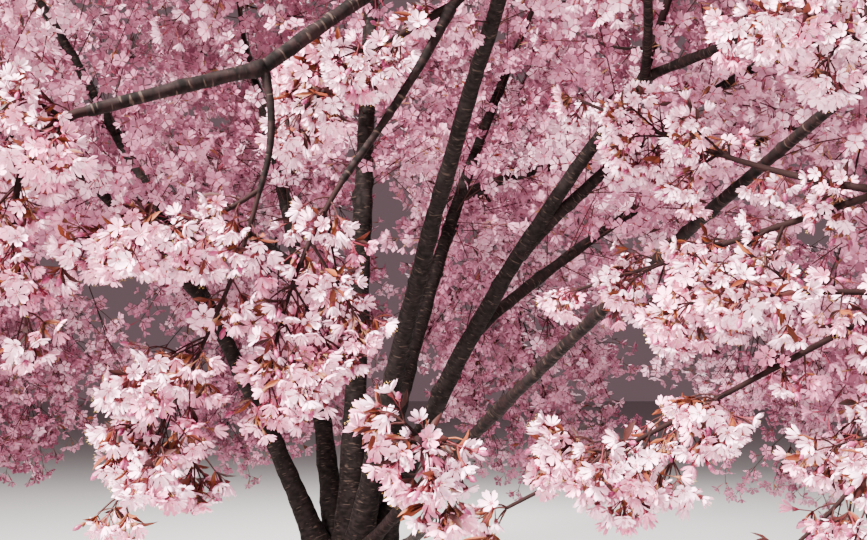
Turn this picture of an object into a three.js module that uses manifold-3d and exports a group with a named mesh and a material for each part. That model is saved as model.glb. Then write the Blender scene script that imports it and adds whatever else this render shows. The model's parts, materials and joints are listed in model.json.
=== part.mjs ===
// A pink hill cherry in full blossom: a park tree whose short trunk forks low into six stems.
// The low side of its crown hangs down to eye level on nine boughs of its own. Eight more boughs leave the
// stems and carry the rest of the crown, each with a mass that hangs to the skirt and one up to the shoulder.
// Every mass of blossom grows from the tip of a limb: a stem, twigs that branch from it by one seeded rule,
// and a spray of blossom at each tip. A spray is modelled as one large five-cornered flower.
// Millimetres, +Z up. The origin is the middle of the flat cut under the trunk, at ground level.

import * as THREE from "three";
import { mergeVertices } from "three/addons/utils/BufferGeometryUtils.js";
import Module from "manifold-3d";

const wasm = await Module();
wasm.setup();

// Driving sizes of the trunk.
const FORK_HEIGHT = 950;
const TRUNK_RADIUS = 112;
const FOOT_RADIUS = 215;
const FORK_RADIUS = 142;
const FLARE_HEIGHT = 120;
const ROOT_LOBES = 5;
const ROOT_LOBE_DEPTH = 0.2;
const TRUNK_LEAN = 45;

// Driving sizes of the stems and boughs.
const FORK_RING = 94;
const STEM_SINK = 70;
const STEM_TAPER = 0.45;
const BOUGH_REACH = 1900;
const BOUGH_HEIGHT = 2700;
const BOUGH_RADIUS = 26;
const BOUGH_TIP_RADIUS = 13;
const BOUGH_ARCH = 170;
const BOUGH_STEP = 300;

// Driving sizes of the crown, as the places of the stem tips in its masses.
const SKIRT = { reach: 2880, height: 1720, arch: 380, droop: 0.2 };
const SHOULDER = { reach: 2800, height: 3550, arch: 60, droop: 0 };
const UPPER = { reach: 1800, height: 4600, arch: -40, droop: -0.12 };
const CROWN_TOP = 5150;
const MASS_REACH = 1000;
const MASS_TWIGS = 7;
const MASS_SPRAY = 235;
const MASS_DOME = 0.4;
const FRONT_SPRAY = 42;
const FRONT_TWIG_SPACING = 100;
const FRONT_DOME = 0.1;
const FRONT_DROOP = 0.1;

// The growth rule that every mass follows. Leans are in radians from the stem.
const STEM_STEPS = 4;
const FIRST_TWIG = 0.15;
const LAST_TWIG = 0.9;
const SPREAD_ALONG = 0.754878;
const SPREAD_ROUND = 0.56984;
const TURN_PLAY = 0.7;
const PLACES_PER_TWIG = 8;
const TWIG_LEAN_LOW = 1.2;
const TWIG_LEAN_HIGH = 0.7;
const TWIG_SHORTEST = 0.5;
const TWIG_END_ROOM = 1.5;
const TWIG_TAPER = 0.6;
const STEM_SHARE_OF_TIP = 0.8;
const TWIG_SHARE_OF_STEM = 0.6;
const SPRAY_BACK = 0.5;
const SPRAY_PLAY = 0.15;
const SPRAY_SPACING = 0.72;

// Fits.
const CLEARANCE = 0.3;
const SPACE_MARGIN = 0.01;
const LIMB_MARGIN = 6;
const NEIGHBOUR_RANGE = 260;

// Colours of bark and blossom.
const BARK = new THREE.MeshStandardMaterial({ color: 0x4b3a36, roughness: 0.85, metalness: 0 });
const BLOSSOM = new THREE.MeshStandardMaterial({ color: 0xf3c9d6, roughness: 0.7, metalness: 0 });

const point = (xyz) => new THREE.Vector3(...xyz);

// A point at an azimuth in degrees, counted from +X towards +Y, a distance out from the trunk, and a height.
function polar(azimuth, reach, height) {
  const angle = THREE.MathUtils.degToRad(azimuth);
  return new THREE.Vector3(reach * Math.cos(angle), reach * Math.sin(angle), height);
}

// A repeatable stream of numbers from 0 to 1.
function chance(seed) {
  let state = seed;
  return () => {
    state = (state * 16807) % 2147483647;
    return state / 2147483647;
  };
}

// A smooth bend from a start, drawn towards a middle point, to a tip.
function bend(start, via, tip) {
  const curve = new THREE.QuadraticBezierCurve3(start, via, tip);
  curve.directionAt = (t) => {
    const early = via.clone().sub(start).multiplyScalar(1 - t);
    const late = tip.clone().sub(via).multiplyScalar(t);
    return early.add(late).normalize();
  };
  return curve;
}

// The directions across a curve at t: one level, the other square to it and to the curve.
function acrossCurve(curve, t) {
  const along = curve.directionAt(t);
  const level = Math.abs(along.z) > 0.97 ? new THREE.Vector3(1, 0, 0) : new THREE.Vector3(0, 0, 1);
  const side = along.clone().cross(level).normalize();
  return { along, side, other: side.clone().cross(along) };
}

// A closed geometry as a solid, with its doubled points merged and its empty faces dropped.
function solidOf(geometry) {
  geometry.deleteAttribute("normal");
  geometry.deleteAttribute("uv");
  const merged = mergeVertices(geometry, 1e-3);
  const faces = [];
  for (let i = 0; i < merged.index.count; i += 3) {
    const [a, b, c] = [0, 1, 2].map((k) => merged.index.getX(i + k));
    if (a !== b && b !== c && c !== a) faces.push(a, b, c);
  }
  const mesh = new wasm.Mesh({
    numProp: 3,
    vertProperties: new Float32Array(merged.getAttribute("position").array),
    triVerts: new Uint32Array(faces),
  });
  return new wasm.Manifold(mesh);
}

// Rings carried along a curve on a cylinder of so many sides. Each ring has its share t of the way along, its
// radius, and how far beyond the curve's end it lies.
function sweep(curve, sides, rings) {
  const steps = rings.length - 1;
  const geometry = new THREE.CylinderGeometry(1, 1, 1, sides, steps);
  const position = geometry.getAttribute("position");
  let side = acrossCurve(curve, 0).side;
  const frames = rings.map(({ t, beyond = 0, radius }) => {
    const along = curve.directionAt(t);
    side = side.clone().addScaledVector(along, -side.dot(along)).normalize();
    const centre = curve.getPoint(t).addScaledVector(along, beyond);
    return { centre, side, other: side.clone().cross(along), radius };
  });
  for (let i = 0; i < position.count; i++) {
    const frame = frames[Math.round((position.getY(i) + 0.5) * steps)];
    const moved = frame.centre.clone();
    moved.addScaledVector(frame.side, position.getX(i) * frame.radius);
    moved.addScaledVector(frame.other, position.getZ(i) * frame.radius);
    position.setXYZ(i, moved.x, moved.y, moved.z);
  }
  return solidOf(geometry);
}

// A limb narrows evenly from base to end. With extra, it is that much thicker and longer all over, to cut its
// neighbours clear of it.
function limbSolid({ curve, base, end, sides, steps }, extra = 0) {
  const wider = extra / Math.cos(Math.PI / sides);
  const rings = Array.from({ length: steps + 1 }, (_, k) => {
    const radius = THREE.MathUtils.lerp(base, end, k / steps) + wider;
    return { t: k / steps, radius };
  });
  rings[0].beyond = -extra;
  rings[steps].beyond = extra;
  return sweep(curve, sides, rings);
}

// A twig, or the stem of a mass, widens at its tip into a spray with five corners and a domed or hollow front.
function sprayedSolid({ curve, base, end, steps, spray, dome }) {
  const rings = Array.from({ length: steps + 1 }, (_, k) => {
    return { t: k / steps, radius: THREE.MathUtils.lerp(base, end, k / steps) };
  });
  rings.push({ t: 1, beyond: SPRAY_BACK * spray, radius: spray });
  rings.push({ t: 1, beyond: (SPRAY_BACK + dome) * spray, radius: 0 });
  return sweep(curve, 5, rings);
}

// The trunk's axis leans a little as it rises.
function trunkCentre(height) {
  const rise = height / FORK_HEIGHT;
  return new THREE.Vector3(-TRUNK_LEAN * rise * rise, 0.5 * TRUNK_LEAN * rise * rise, height);
}

// The trunk's radius: root flare at the foot, a waist, and a swelling under the fork that closes at the top.
function trunkRadius(height, angle) {
  const flare = Math.exp(-height / FLARE_HEIGHT);
  const lobes = 1 + ROOT_LOBE_DEPTH * flare * Math.cos(ROOT_LOBES * angle + 0.6);
  const swell = THREE.MathUtils.smoothstep(height, 0.45 * FORK_HEIGHT, 0.92 * FORK_HEIGHT);
  const closing = height > 0.97 * FORK_HEIGHT ? 0.72 : 1;
  const round = TRUNK_RADIUS + (FOOT_RADIUS - TRUNK_RADIUS) * flare + (FORK_RADIUS - TRUNK_RADIUS) * swell;
  return round * lobes * closing;
}

// The trunk keeps its rings level, so that its foot is a flat cut.
function trunkSolid(extra = 0) {
  const heights = [0, 45, 110, 210, 360, 520, 690, 830, 900, FORK_HEIGHT];
  const steps = heights.length - 1;
  const geometry = new THREE.CylinderGeometry(1, 1, 1, 15, steps);
  const position = geometry.getAttribute("position");
  for (let i = 0; i < position.count; i++) {
    const ring = Math.round((position.getY(i) + 0.5) * steps);
    const height = heights[ring];
    const [x, z] = [position.getX(i), position.getZ(i)];
    const radius = trunkRadius(height, Math.atan2(-z, x)) + extra;
    const centre = trunkCentre(height);
    const top = ring === steps ? extra : 0;
    position.setXYZ(i, centre.x + x * radius, centre.y - z * radius, height + top);
  }
  return solidOf(geometry);
}

// The line of points that a limb or a stem follows, and how near a place comes to such a line.
function lineOf(curve) {
  return curve.getPoints(8);
}

function distanceTo(line, place) {
  let nearest = Infinity;
  const piece = new THREE.Line3();
  const foot = new THREE.Vector3();
  for (let i = 1; i < line.length; i++) {
    piece.set(line[i - 1], line[i]);
    nearest = Math.min(nearest, piece.closestPointToPoint(place, true, foot).distanceTo(place));
  }
  return nearest;
}

const limbs = new Map();
const masses = [];

// Adds a limb. It starts on its parent's axis, a share of the way along it, and ends at its tip.
function addLimb(name, { parent, at = 1, tip, via, arch = BOUGH_ARCH, base, end }) {
  const start = limbs.get(parent).curve.getPoint(at);
  const middle = via ?? start.clone().lerp(tip, 0.5).add(new THREE.Vector3(0, 0, arch));
  const curve = bend(start, middle, tip);
  const steps = THREE.MathUtils.clamp(Math.round(curve.getLength() / BOUGH_STEP), 2, 6);
  limbs.set(name, { name, parent, curve, base, end, sides: 6, steps, line: lineOf(curve) });
}

// Adds a mass of blossom at the tip of a limb.
function addMass(name, limb, { tip, via, arch = 0, droop = 0, reach = MASS_REACH, front = false }) {
  const { curve: carrier, end } = limbs.get(limb);
  const start = carrier.getPoint(1).addScaledVector(carrier.directionAt(1), -end);
  const middle = via ?? start.clone().lerp(tip, 0.5).add(new THREE.Vector3(0, 0, arch));
  const curve = bend(start, middle, tip);
  const twigs = front ? Math.round(curve.getLength() / FRONT_TWIG_SPACING) + 1 : MASS_TWIGS;
  const spray = front ? FRONT_SPRAY : MASS_SPRAY;
  const dome = front ? FRONT_DOME : MASS_DOME;
  const radius = STEM_SHARE_OF_TIP * end;
  masses.push({ name, limb, curve, radius, reach, twigs, spray, dome, droop, line: lineOf(curve) });
}

// The trunk as a limb that others start from. Its line ends a little below its top.
limbs.set("trunk", {
  name: "trunk",
  curve: bend(trunkCentre(0), trunkCentre(FORK_HEIGHT / 2), trunkCentre(FORK_HEIGHT - STEM_SINK)),
  base: FOOT_RADIUS,
  line: [trunkCentre(0), trunkCentre(FORK_HEIGHT / 2), trunkCentre(FORK_HEIGHT)],
});

// The stems fan out from a ring on the trunk's top, with one in the middle. The front and right ones lean out
// over the low side of the crown.
const onRing = (azimuth) => polar(azimuth, FORK_RING, 0);
const STEMS = {
  middle: { from: point([0, 0, 0]), via: polar(70, 40, 2580), tip: polar(70, 180, 4150), base: 50 },
  front: { from: onRing(-74), via: point([200, -350, 2000]), tip: point([560, -1900, 2850]), base: 43 },
  right: { from: onRing(-20), via: point([380, -200, 1850]), tip: point([1000, -1000, 2600]), base: 44 },
  back_right: { from: onRing(52), via: polar(52, 400, 2110), tip: polar(52, 1150, 3250), base: 42 },
  back_left: { from: onRing(124), via: polar(124, 420, 2140), tip: polar(124, 1150, 3300), base: 42 },
  left: { from: onRing(188), via: point([-470, -20, 1750]), tip: point([-1350, 0, 3200]), base: 40 },
};
for (const [side, { from, via, tip, base }] of Object.entries(STEMS)) {
  const curve = bend(from.add(trunkCentre(FORK_HEIGHT - STEM_SINK)), via, tip);
  const stem = { name: `stem_${side}`, parent: "trunk", curve, base, end: STEM_TAPER * base };
  limbs.set(stem.name, { ...stem, sides: 7, steps: 6, line: lineOf(curve) });
}

// Two boughs on each of the four outer stems, at the azimuths given, leave it part of the way up.
const CROWN_BOUGHS = {
  stem_right: [-36, 0],
  stem_back_right: [34, 72],
  stem_back_left: [106, 144],
  stem_left: [180, 222],
};
const LEAVES_STEM_AT = [0.66, 0.5];
for (const [stem, azimuths] of Object.entries(CROWN_BOUGHS)) {
  azimuths.forEach((azimuth, k) => {
    const side = `${stem.replace("stem_", "")}_${k + 1}`;
    addLimb(`bough_${side}`, {
      parent: stem,
      at: LEAVES_STEM_AT[k],
      tip: polar(azimuth, BOUGH_REACH, BOUGH_HEIGHT),
      base: BOUGH_RADIUS,
      end: BOUGH_TIP_RADIUS,
    });
    for (const [part, place] of Object.entries({ skirt: SKIRT, shoulder: SHOULDER })) {
      const tip = polar(azimuth, place.reach, place.height);
      addMass(`${part}_${side}`, `bough_${side}`, { tip, arch: place.arch, droop: place.droop });
    }
  });
}

// The upper crown grows from the tips of the stems, and two shoulders of the front from the front stem's tip.
const UPPER_AZIMUTHS = { front: -82, right: -22, back_right: 48, back_left: 120, left: 190 };
for (const [side, azimuth] of Object.entries(UPPER_AZIMUTHS)) {
  const tip = polar(azimuth, UPPER.reach, UPPER.height);
  addMass(`upper_${side}`, `stem_${side}`, { tip, arch: UPPER.arch, droop: UPPER.droop });
}
addMass("upper_middle", "stem_middle", { tip: new THREE.Vector3(0, 0, CROWN_TOP), droop: UPPER.droop });
addMass("shoulder_front_left", "stem_front", { tip: polar(-116, 2350, 3650), arch: 150 });
addMass("shoulder_front_right", "stem_front", { tip: polar(-58, 2600, 3650), arch: 100 });

// The boughs of the front. Those that go over arch out from the stems, those that hang carry on down from them
// at eye level, and the low ones run out from the fork.
const FRONT_BOUGHS = {
  over_left: { from: "stem_front", via: [630, -2850, 2580], tip: [25, -2995, 2080], radii: [18, 13] },
  outer_left: { from: "over_left", via: [-100, -3030, 2040], tip: [-235, -3055, 1995], radii: [12.5, 10.5] },
  hanging_left: { from: "over_left", via: [55, -2995, 1975], tip: [20, -2995, 1875], radii: [7.5, 5.5] },
  over_middle: { from: "stem_right", via: [850, -2300, 3000], tip: [330, -2840, 2230], radii: [17, 10.5] },
  hanging_middle: { from: "over_middle", via: [275, -2885, 2095], tip: [150, -2925, 1910], radii: [10, 6.5] },
  over_right: { from: "stem_right", via: [1750, -2200, 2700], tip: [1105, -2775, 1910], radii: [18, 10] },
  hanging_right: { from: "over_right", via: [1110, -2890, 1830], tip: [1065, -2955, 1705], radii: [9.5, 8] },
  low_right: { from: "trunk", via: [760, -1750, 1840], tip: [1070, -2900, 2115], radii: [27, 11] },
  low_front: { from: "trunk", via: [330, -1500, 1130], tip: [300, -3230, 1465], radii: [24, 9] },
};
for (const [side, { from, via, tip, radii }] of Object.entries(FRONT_BOUGHS)) {
  const parent = limbs.has(from) ? from : `bough_${from}`;
  const [base, end] = radii;
  addLimb(`bough_${side}`, { parent, via: point(via), tip: point(tip), base, end });
}

// The masses of the front are small and hang close together, each along one twig-bearing stem.
const FRONT_MASSES = {
  left_edge: { limb: "outer_left", via: [-390, -3085, 1965], tip: [-320, -3075, 1680], reach: 165 },
  left_upper: { limb: "hanging_left", via: [-90, -3020, 1790], tip: [-235, -3040, 1795], reach: 170 },
  left_low: { limb: "hanging_left", via: [-20, -3005, 1680], tip: [-180, -3015, 1400], reach: 185 },
  middle_upper: { limb: "over_middle", via: [225, -2875, 2170], tip: [75, -2890, 2035], reach: 150 },
  middle_low: { limb: "hanging_middle", via: [60, -2960, 1755], tip: [40, -2990, 1575], reach: 200 },
  right_upper: { limb: "low_right", via: [990, -2955, 2190], tip: [815, -2955, 2180], reach: 170 },
  right_far_high: { limb: "over_right", via: [950, -2530, 1980], tip: [630, -2305, 2195], reach: 150 },
  right_far_low: { limb: "over_right", via: [935, -2570, 1865], tip: [605, -2360, 1775], reach: 150 },
  right_middle: { limb: "hanging_right", via: [960, -2960, 1730], tip: [700, -3020, 1695], reach: 160 },
  right_low: { limb: "hanging_right", via: [830, -3015, 1590], tip: [410, -3075, 1385], reach: 150 },
  right_corner: { limb: "hanging_right", via: [1050, -3035, 1485], tip: [840, -3070, 1330], reach: 170 },
  low: { limb: "low_front", via: [290, -3330, 1490], tip: [280, -3425, 1500], reach: 130 },
};
for (const [side, { limb, via, tip, reach }] of Object.entries(FRONT_MASSES)) {
  const form = { via: point(via), tip: point(tip), droop: FRONT_DROOP, front: true, reach };
  addMass(`front_${side}`, `bough_${limb}`, form);
}

// True if a ball there stays in its mass's own space and clear of every limb.
function hasRoom(mass, centre, radius) {
  const own = (distanceTo(mass.line, centre) + radius) / mass.reach;
  if (own > 1) return false;
  const crowded = masses.some(
    (other) => other !== mass && (distanceTo(other.line, centre) - radius) / other.reach < own + SPACE_MARGIN,
  );
  if (crowded) return false;
  return ![...limbs.values()].some((limb) => distanceTo(limb.line, centre) < limb.base + radius + LIMB_MARGIN);
}

// The growth rule. Places for twigs are spread evenly along the stem and round it. Each twig ends in a spray,
// and so does the stem. A twig is left out if it or its spray would crowd another, leave the mass's space or
// touch a limb.
function grow(mass, seed) {
  const random = chance(seed);
  const { curve, radius, reach, twigs, spray, dome, droop } = mass;
  const sprayMiddle = (twig) => {
    return twig.curve.getPoint(1).addScaledVector(twig.curve.directionAt(1), SPRAY_BACK * twig.spray);
  };
  const stem = { curve, base: radius, end: STEM_TAPER * radius, steps: STEM_STEPS, spray, dome };
  const chords = curve.getPoints(STEM_STEPS);
  const grown = [stem];
  const sprays = [{ centre: sprayMiddle(stem), radius: spray }];
  const wood = [];
  for (let k = 1; k <= PLACES_PER_TWIG * twigs && grown.length <= twigs; k++) {
    const t = FIRST_TWIG + (LAST_TWIG - FIRST_TWIG) * ((k * SPREAD_ALONG) % 1);
    const turn = 2 * Math.PI * ((k * SPREAD_ROUND) % 1) + (random() - 0.5) * TURN_PLAY;
    const { along, side, other } = acrossCurve(curve, t);
    const out = side.multiplyScalar(Math.cos(turn)).addScaledVector(other, Math.sin(turn));
    const lean = THREE.MathUtils.lerp(TWIG_LEAN_LOW, TWIG_LEAN_HIGH, t);
    const way = along.clone().multiplyScalar(Math.cos(lean)).addScaledVector(out, Math.sin(lean));
    const size = spray * THREE.MathUtils.lerp(1 - SPRAY_PLAY, 1 + SPRAY_PLAY, random());
    const length = THREE.MathUtils.lerp(TWIG_SHORTEST, 1, random()) * (reach - TWIG_END_ROOM * size);
    const chord = Math.floor(t * STEM_STEPS);
    const root = chords[chord].clone().lerp(chords[chord + 1], t * STEM_STEPS - chord);
    const tip = root.clone().addScaledVector(way, length);
    tip.z -= droop * length;
    const twigCurve = bend(root, root.clone().addScaledVector(way, 0.55 * length), tip);
    const base = TWIG_SHARE_OF_STEM * THREE.MathUtils.lerp(radius, STEM_TAPER * radius, t);
    const twig = { curve: twigCurve, base, end: TWIG_TAPER * base, steps: 1, spray: size, dome };
    const centre = sprayMiddle(twig);
    const path = [0.3, 0.6, 0.9].map((s) => twigCurve.getPoint(s));
    const free =
      path.every((place) => hasRoom(mass, place, base)) &&
      hasRoom(mass, centre, size) &&
      sprays.every((other) => other.centre.distanceTo(centre) > SPRAY_SPACING * (other.radius + size)) &&
      sprays.every((other) => path.every((place) => other.centre.distanceTo(place) > other.radius)) &&
      wood.every((place) => place.distanceTo(centre) > size);
    if (!free) continue;
    grown.push(twig);
    sprays.push({ centre, radius: size });
    wood.push(...path);
  }
  return grown;
}

// The largest piece of a solid, with loose scraps and sealed hollows left out.
function largestPiece(solid) {
  return solid.decompose().reduce((best, piece) => (piece.volume() > best.volume() ? piece : best));
}

// Cuts a limb or a mass clear of the limb that carries it and of the neighbours made before it at that fork.
const carriedBy = new Map();
function cutClear(solid, stem, parent) {
  const carried = carriedBy.get(parent) ?? [];
  const start = stem.curve.getPoint(0);
  const near = carried.filter((other) => other.curve.getPoint(0).distanceTo(start) < NEIGHBOUR_RANGE);
  const cutters = near.map((other) => limbSolid(other, CLEARANCE));
  cutters.push(parent === "trunk" ? trunkSolid(CLEARANCE) : limbSolid(limbs.get(parent), CLEARANCE));
  carriedBy.set(parent, [...carried, stem]);
  return largestPiece(solid.subtract(wasm.Manifold.union(cutters)));
}

// A solid as a named mesh.
function meshOf(name, solid, material) {
  const { vertProperties, triVerts } = solid.getMesh();
  const geometry = new THREE.BufferGeometry();
  geometry.setAttribute("position", new THREE.BufferAttribute(new Float32Array(vertProperties), 3));
  geometry.setIndex(new THREE.BufferAttribute(new Uint32Array(triVerts), 1));
  geometry.computeVertexNormals();
  const mesh = new THREE.Mesh(geometry, material);
  mesh.name = name;
  return mesh;
}

const tree = new THREE.Group();
tree.name = "cherry_tree";
const wood = new THREE.Group();
const blossom = new THREE.Group();
tree.add(wood, blossom);

wood.add(meshOf("trunk", trunkSolid(), BARK));
for (const limb of limbs.values()) {
  if (limb.parent) wood.add(meshOf(limb.name, cutClear(limbSolid(limb), limb, limb.parent), BARK));
}

const FIRST_SEED = 4051;
const SEED_STEP = 977;
masses.forEach((mass, k) => {
  const [stem, ...twigs] = grow(mass, FIRST_SEED + SEED_STEP * k);
  const solid = wasm.Manifold.union([stem, ...twigs].map(sprayedSolid));
  blossom.add(meshOf(mass.name, cutClear(solid, { ...stem, sides: 5 }, mass.limb), BLOSSOM));
});

export default tree;
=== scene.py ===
# A pink hill cherry in full blossom, a rooted park tree with a short trunk that forks low into six stems.
# Its near boughs hang to eye level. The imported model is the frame, and each mass of blossom in it is grown
# again here by the same rule and carried on to finer twigs, blossoms and young leaves. Metres, +Z up.

import json
import math

import bpy
import numpy as np
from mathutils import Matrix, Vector

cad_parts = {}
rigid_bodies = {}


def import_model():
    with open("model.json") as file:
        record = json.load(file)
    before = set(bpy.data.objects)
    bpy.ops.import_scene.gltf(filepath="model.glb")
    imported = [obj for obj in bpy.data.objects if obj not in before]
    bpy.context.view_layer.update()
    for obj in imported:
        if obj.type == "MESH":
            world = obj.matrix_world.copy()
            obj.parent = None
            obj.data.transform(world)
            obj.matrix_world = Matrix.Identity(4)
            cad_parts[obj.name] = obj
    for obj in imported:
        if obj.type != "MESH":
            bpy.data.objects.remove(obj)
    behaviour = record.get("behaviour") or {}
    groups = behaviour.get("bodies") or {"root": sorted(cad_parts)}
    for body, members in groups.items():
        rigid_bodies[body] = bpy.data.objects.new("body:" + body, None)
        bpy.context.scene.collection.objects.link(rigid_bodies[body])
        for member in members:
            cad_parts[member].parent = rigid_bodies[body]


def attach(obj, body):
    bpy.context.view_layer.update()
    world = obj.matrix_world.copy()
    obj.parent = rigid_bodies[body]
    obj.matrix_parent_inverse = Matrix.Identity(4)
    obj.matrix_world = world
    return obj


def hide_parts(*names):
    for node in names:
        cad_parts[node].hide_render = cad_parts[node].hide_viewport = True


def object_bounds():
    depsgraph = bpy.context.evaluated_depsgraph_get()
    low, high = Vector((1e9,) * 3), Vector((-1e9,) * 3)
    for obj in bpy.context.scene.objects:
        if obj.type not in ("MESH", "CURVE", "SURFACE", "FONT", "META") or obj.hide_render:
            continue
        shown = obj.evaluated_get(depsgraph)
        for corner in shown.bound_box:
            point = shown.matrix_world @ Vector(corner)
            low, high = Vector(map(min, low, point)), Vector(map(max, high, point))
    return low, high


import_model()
cad_low, cad_high = [np.array(corner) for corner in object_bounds()]


# Limbs. The trunk is short and leans a little. Six stems rise from its top, eight boughs carry the sides and
# back of the crown, and nine more hang out over the front. Each follows one smooth bend of three points.

FORK_HEIGHT = 0.95
TRUNK_LEAN = 0.045
FOOT_RADIUS = 0.215
FORK_RADIUS = 0.142
STEM_SINK = 0.07
FORK_RING = 0.094
STEM_TAPER = 0.45
BOUGH_REACH = 1.9
BOUGH_HEIGHT = 2.7
BOUGH_RADIUS = 0.026
BOUGH_TIP_RADIUS = 0.013
BOUGH_ARCH = 0.17
LEAVES_STEM_AT = (0.66, 0.5)


def up(height):
    return np.array([0, 0, height])


def polar(azimuth, reach, height):
    angle = math.radians(azimuth)
    return np.array([reach * math.cos(angle), reach * math.sin(angle), height])


def bezier(start, via, tip, t):
    return (1 - t) ** 2 * start + 2 * t * (1 - t) * via + t**2 * tip


def places_on(bend, t):
    return bezier(*bend, np.asarray(t, float)[..., None])


def trunk_centre(height):
    rise = np.asarray(height, float) / FORK_HEIGHT
    return np.stack([-TRUNK_LEAN * rise**2, 0.5 * TRUNK_LEAN * rise**2, rise * FORK_HEIGHT], axis=-1)


limbs = {}


def add_limb(name, parent, start, via, tip, base, end):
    bend = np.array([start, via, tip], float)
    limbs[name] = {"name": name, "parent": parent, "bend": bend, "base": base, "end": end}


fork = trunk_centre(FORK_HEIGHT - STEM_SINK)
add_limb("trunk", None, trunk_centre(0), trunk_centre(FORK_HEIGHT / 2), fork, FOOT_RADIUS, FORK_RADIUS)

# Each stem's foot, measured from the fork, the point it bends by, its tip and its radius.
STEMS = {
    "middle": ((0, 0, 0), polar(70, 0.04, 2.58), polar(70, 0.18, 4.15), 0.05),
    "front": (polar(-74, FORK_RING, 0), (0.2, -0.35, 2.0), (0.56, -1.9, 2.85), 0.043),
    "right": (polar(-20, FORK_RING, 0), (0.38, -0.2, 1.85), (1.0, -1.0, 2.6), 0.044),
    "back_right": (polar(52, FORK_RING, 0), polar(52, 0.4, 2.11), polar(52, 1.15, 3.25), 0.042),
    "back_left": (polar(124, FORK_RING, 0), polar(124, 0.42, 2.14), polar(124, 1.15, 3.3), 0.042),
    "left": (polar(188, FORK_RING, 0), (-0.47, -0.02, 1.75), (-1.35, 0, 3.2), 0.04),
}
for side, (foot, via, tip, base) in STEMS.items():
    add_limb(f"stem_{side}", "trunk", fork + np.array(foot), via, tip, base, STEM_TAPER * base)

# The azimuths of the two boughs that each of these stems bears.
CROWN_BOUGHS = {
    "right": (-36, 0),
    "back_right": (34, 72),
    "back_left": (106, 144),
    "left": (180, 222),
}
for side, azimuths in CROWN_BOUGHS.items():
    for k, azimuth in enumerate(azimuths):
        start = places_on(limbs[f"stem_{side}"]["bend"], LEAVES_STEM_AT[k])
        tip = polar(azimuth, BOUGH_REACH, BOUGH_HEIGHT)
        via = (start + tip) / 2 + up(BOUGH_ARCH)
        add_limb(f"bough_{side}_{k + 1}", f"stem_{side}", start, via, tip, BOUGH_RADIUS, BOUGH_TIP_RADIUS)

# The limb whose tip each front bough leaves, the point it bends by, its tip and its two radii.
FRONT_BOUGHS = {
    "over_left": ("stem_front", (0.63, -2.85, 2.58), (0.025, -2.995, 2.08), 0.018, 0.013),
    "outer_left": ("bough_over_left", (-0.1, -3.03, 2.04), (-0.235, -3.055, 1.995), 0.0125, 0.0105),
    "hanging_left": ("bough_over_left", (0.055, -2.995, 1.975), (0.02, -2.995, 1.875), 0.0075, 0.0055),
    "over_middle": ("stem_right", (0.85, -2.3, 3.0), (0.33, -2.84, 2.23), 0.017, 0.0105),
    "hanging_middle": ("bough_over_middle", (0.275, -2.885, 2.095), (0.15, -2.925, 1.91), 0.01, 0.0065),
    "over_right": ("stem_right", (1.75, -2.2, 2.7), (1.105, -2.775, 1.91), 0.018, 0.01),
    "hanging_right": ("bough_over_right", (1.11, -2.89, 1.83), (1.065, -2.955, 1.705), 0.0095, 0.008),
    "low_right": ("trunk", (0.76, -1.75, 1.84), (1.07, -2.9, 2.115), 0.027, 0.011),
    "low_front": ("trunk", (0.33, -1.5, 1.13), (0.3, -3.23, 1.465), 0.024, 0.009),
}
for side, (parent, via, tip, base, end) in FRONT_BOUGHS.items():
    add_limb(f"bough_{side}", parent, limbs[parent]["bend"][2], via, tip, base, end)


# Bark. Cherry bark is thin, satiny and dark, cracked across into short pale lenticels and swollen at old
# spurs. Each limb is a closed skin with that relief, widened at the collar where it leaves its bearer.

BARK_DARK = (0.0030, 0.0018, 0.0016, 1)
BARK_BROWN = (0.0085, 0.0046, 0.0042, 1)
BARK_GREY = (0.017, 0.0118, 0.0112, 1)
BARK_PLUM = (0.0100, 0.0036, 0.0036, 1)
LENTICEL = (0.042, 0.026, 0.021, 1)
LICHEN = (0.040, 0.040, 0.030, 1)
BARK_BUMP = 0.7
LENTICEL_RISE = 0.6

# How close each pattern is, how fine, and how it is drawn out round the limb and along it.
BARK_PATTERNS = {
    "weather": (8.0, 5.0, (1, 1, 0.6)),
    "cracks": (60.0, 5.0, (0.7, 0.7, 1.5)),
    "lenticels": (70.0, 1.0, (0.4, 0.4, 2.6)),
    "lichen": (6.0, 5.0, (1.2, 1.2, 0.8)),
}

# From where to where in its pattern each colour comes in, and for the roughness also its two values.
CRACK_BAND = (0.36, 0.64)
GREY_WIDTH = 0.22
LICHEN_BAND = (0.66, 0.74)
LENTICEL_BAND = (0.63, 0.70)
ROUGHNESS_BAND = (0.3, 0.7, 0.95, 0.68)

# A mix node's sockets for colours share their names with others, so that they are taken by number.
MIX_SOCKETS = (6, 7)
MIX_RESULT = 2


def link(tree, start, socket, end, into):
    tree.links.new(start.outputs[socket], end.inputs[into])


def node_in(tree, kind, **settings):
    made = tree.nodes.new(kind)
    for name, value in settings.items():
        setattr(made, name, value)
    return made


def new_material(name, colour, roughness, gloss=0.5):
    material = bpy.data.materials.new(name)
    material.use_nodes = True
    shader = material.node_tree.nodes["Principled BSDF"]
    shader.inputs["Base Color"].default_value = colour
    shader.inputs["Roughness"].default_value = roughness
    shader.inputs["Specular IOR Level"].default_value = gloss
    material.diffuse_color = colour
    return material, material.node_tree, shader


def noise_on(tree, coordinates, scale, detail, stretch):
    mapping = node_in(tree, "ShaderNodeMapping")
    mapping.inputs["Scale"].default_value = stretch
    noise = node_in(tree, "ShaderNodeTexNoise")
    noise.inputs["Scale"].default_value = scale
    noise.inputs["Detail"].default_value = detail
    link(tree, coordinates, "Vector", mapping, "Vector")
    link(tree, mapping, "Vector", noise, "Vector")
    return noise


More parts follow.
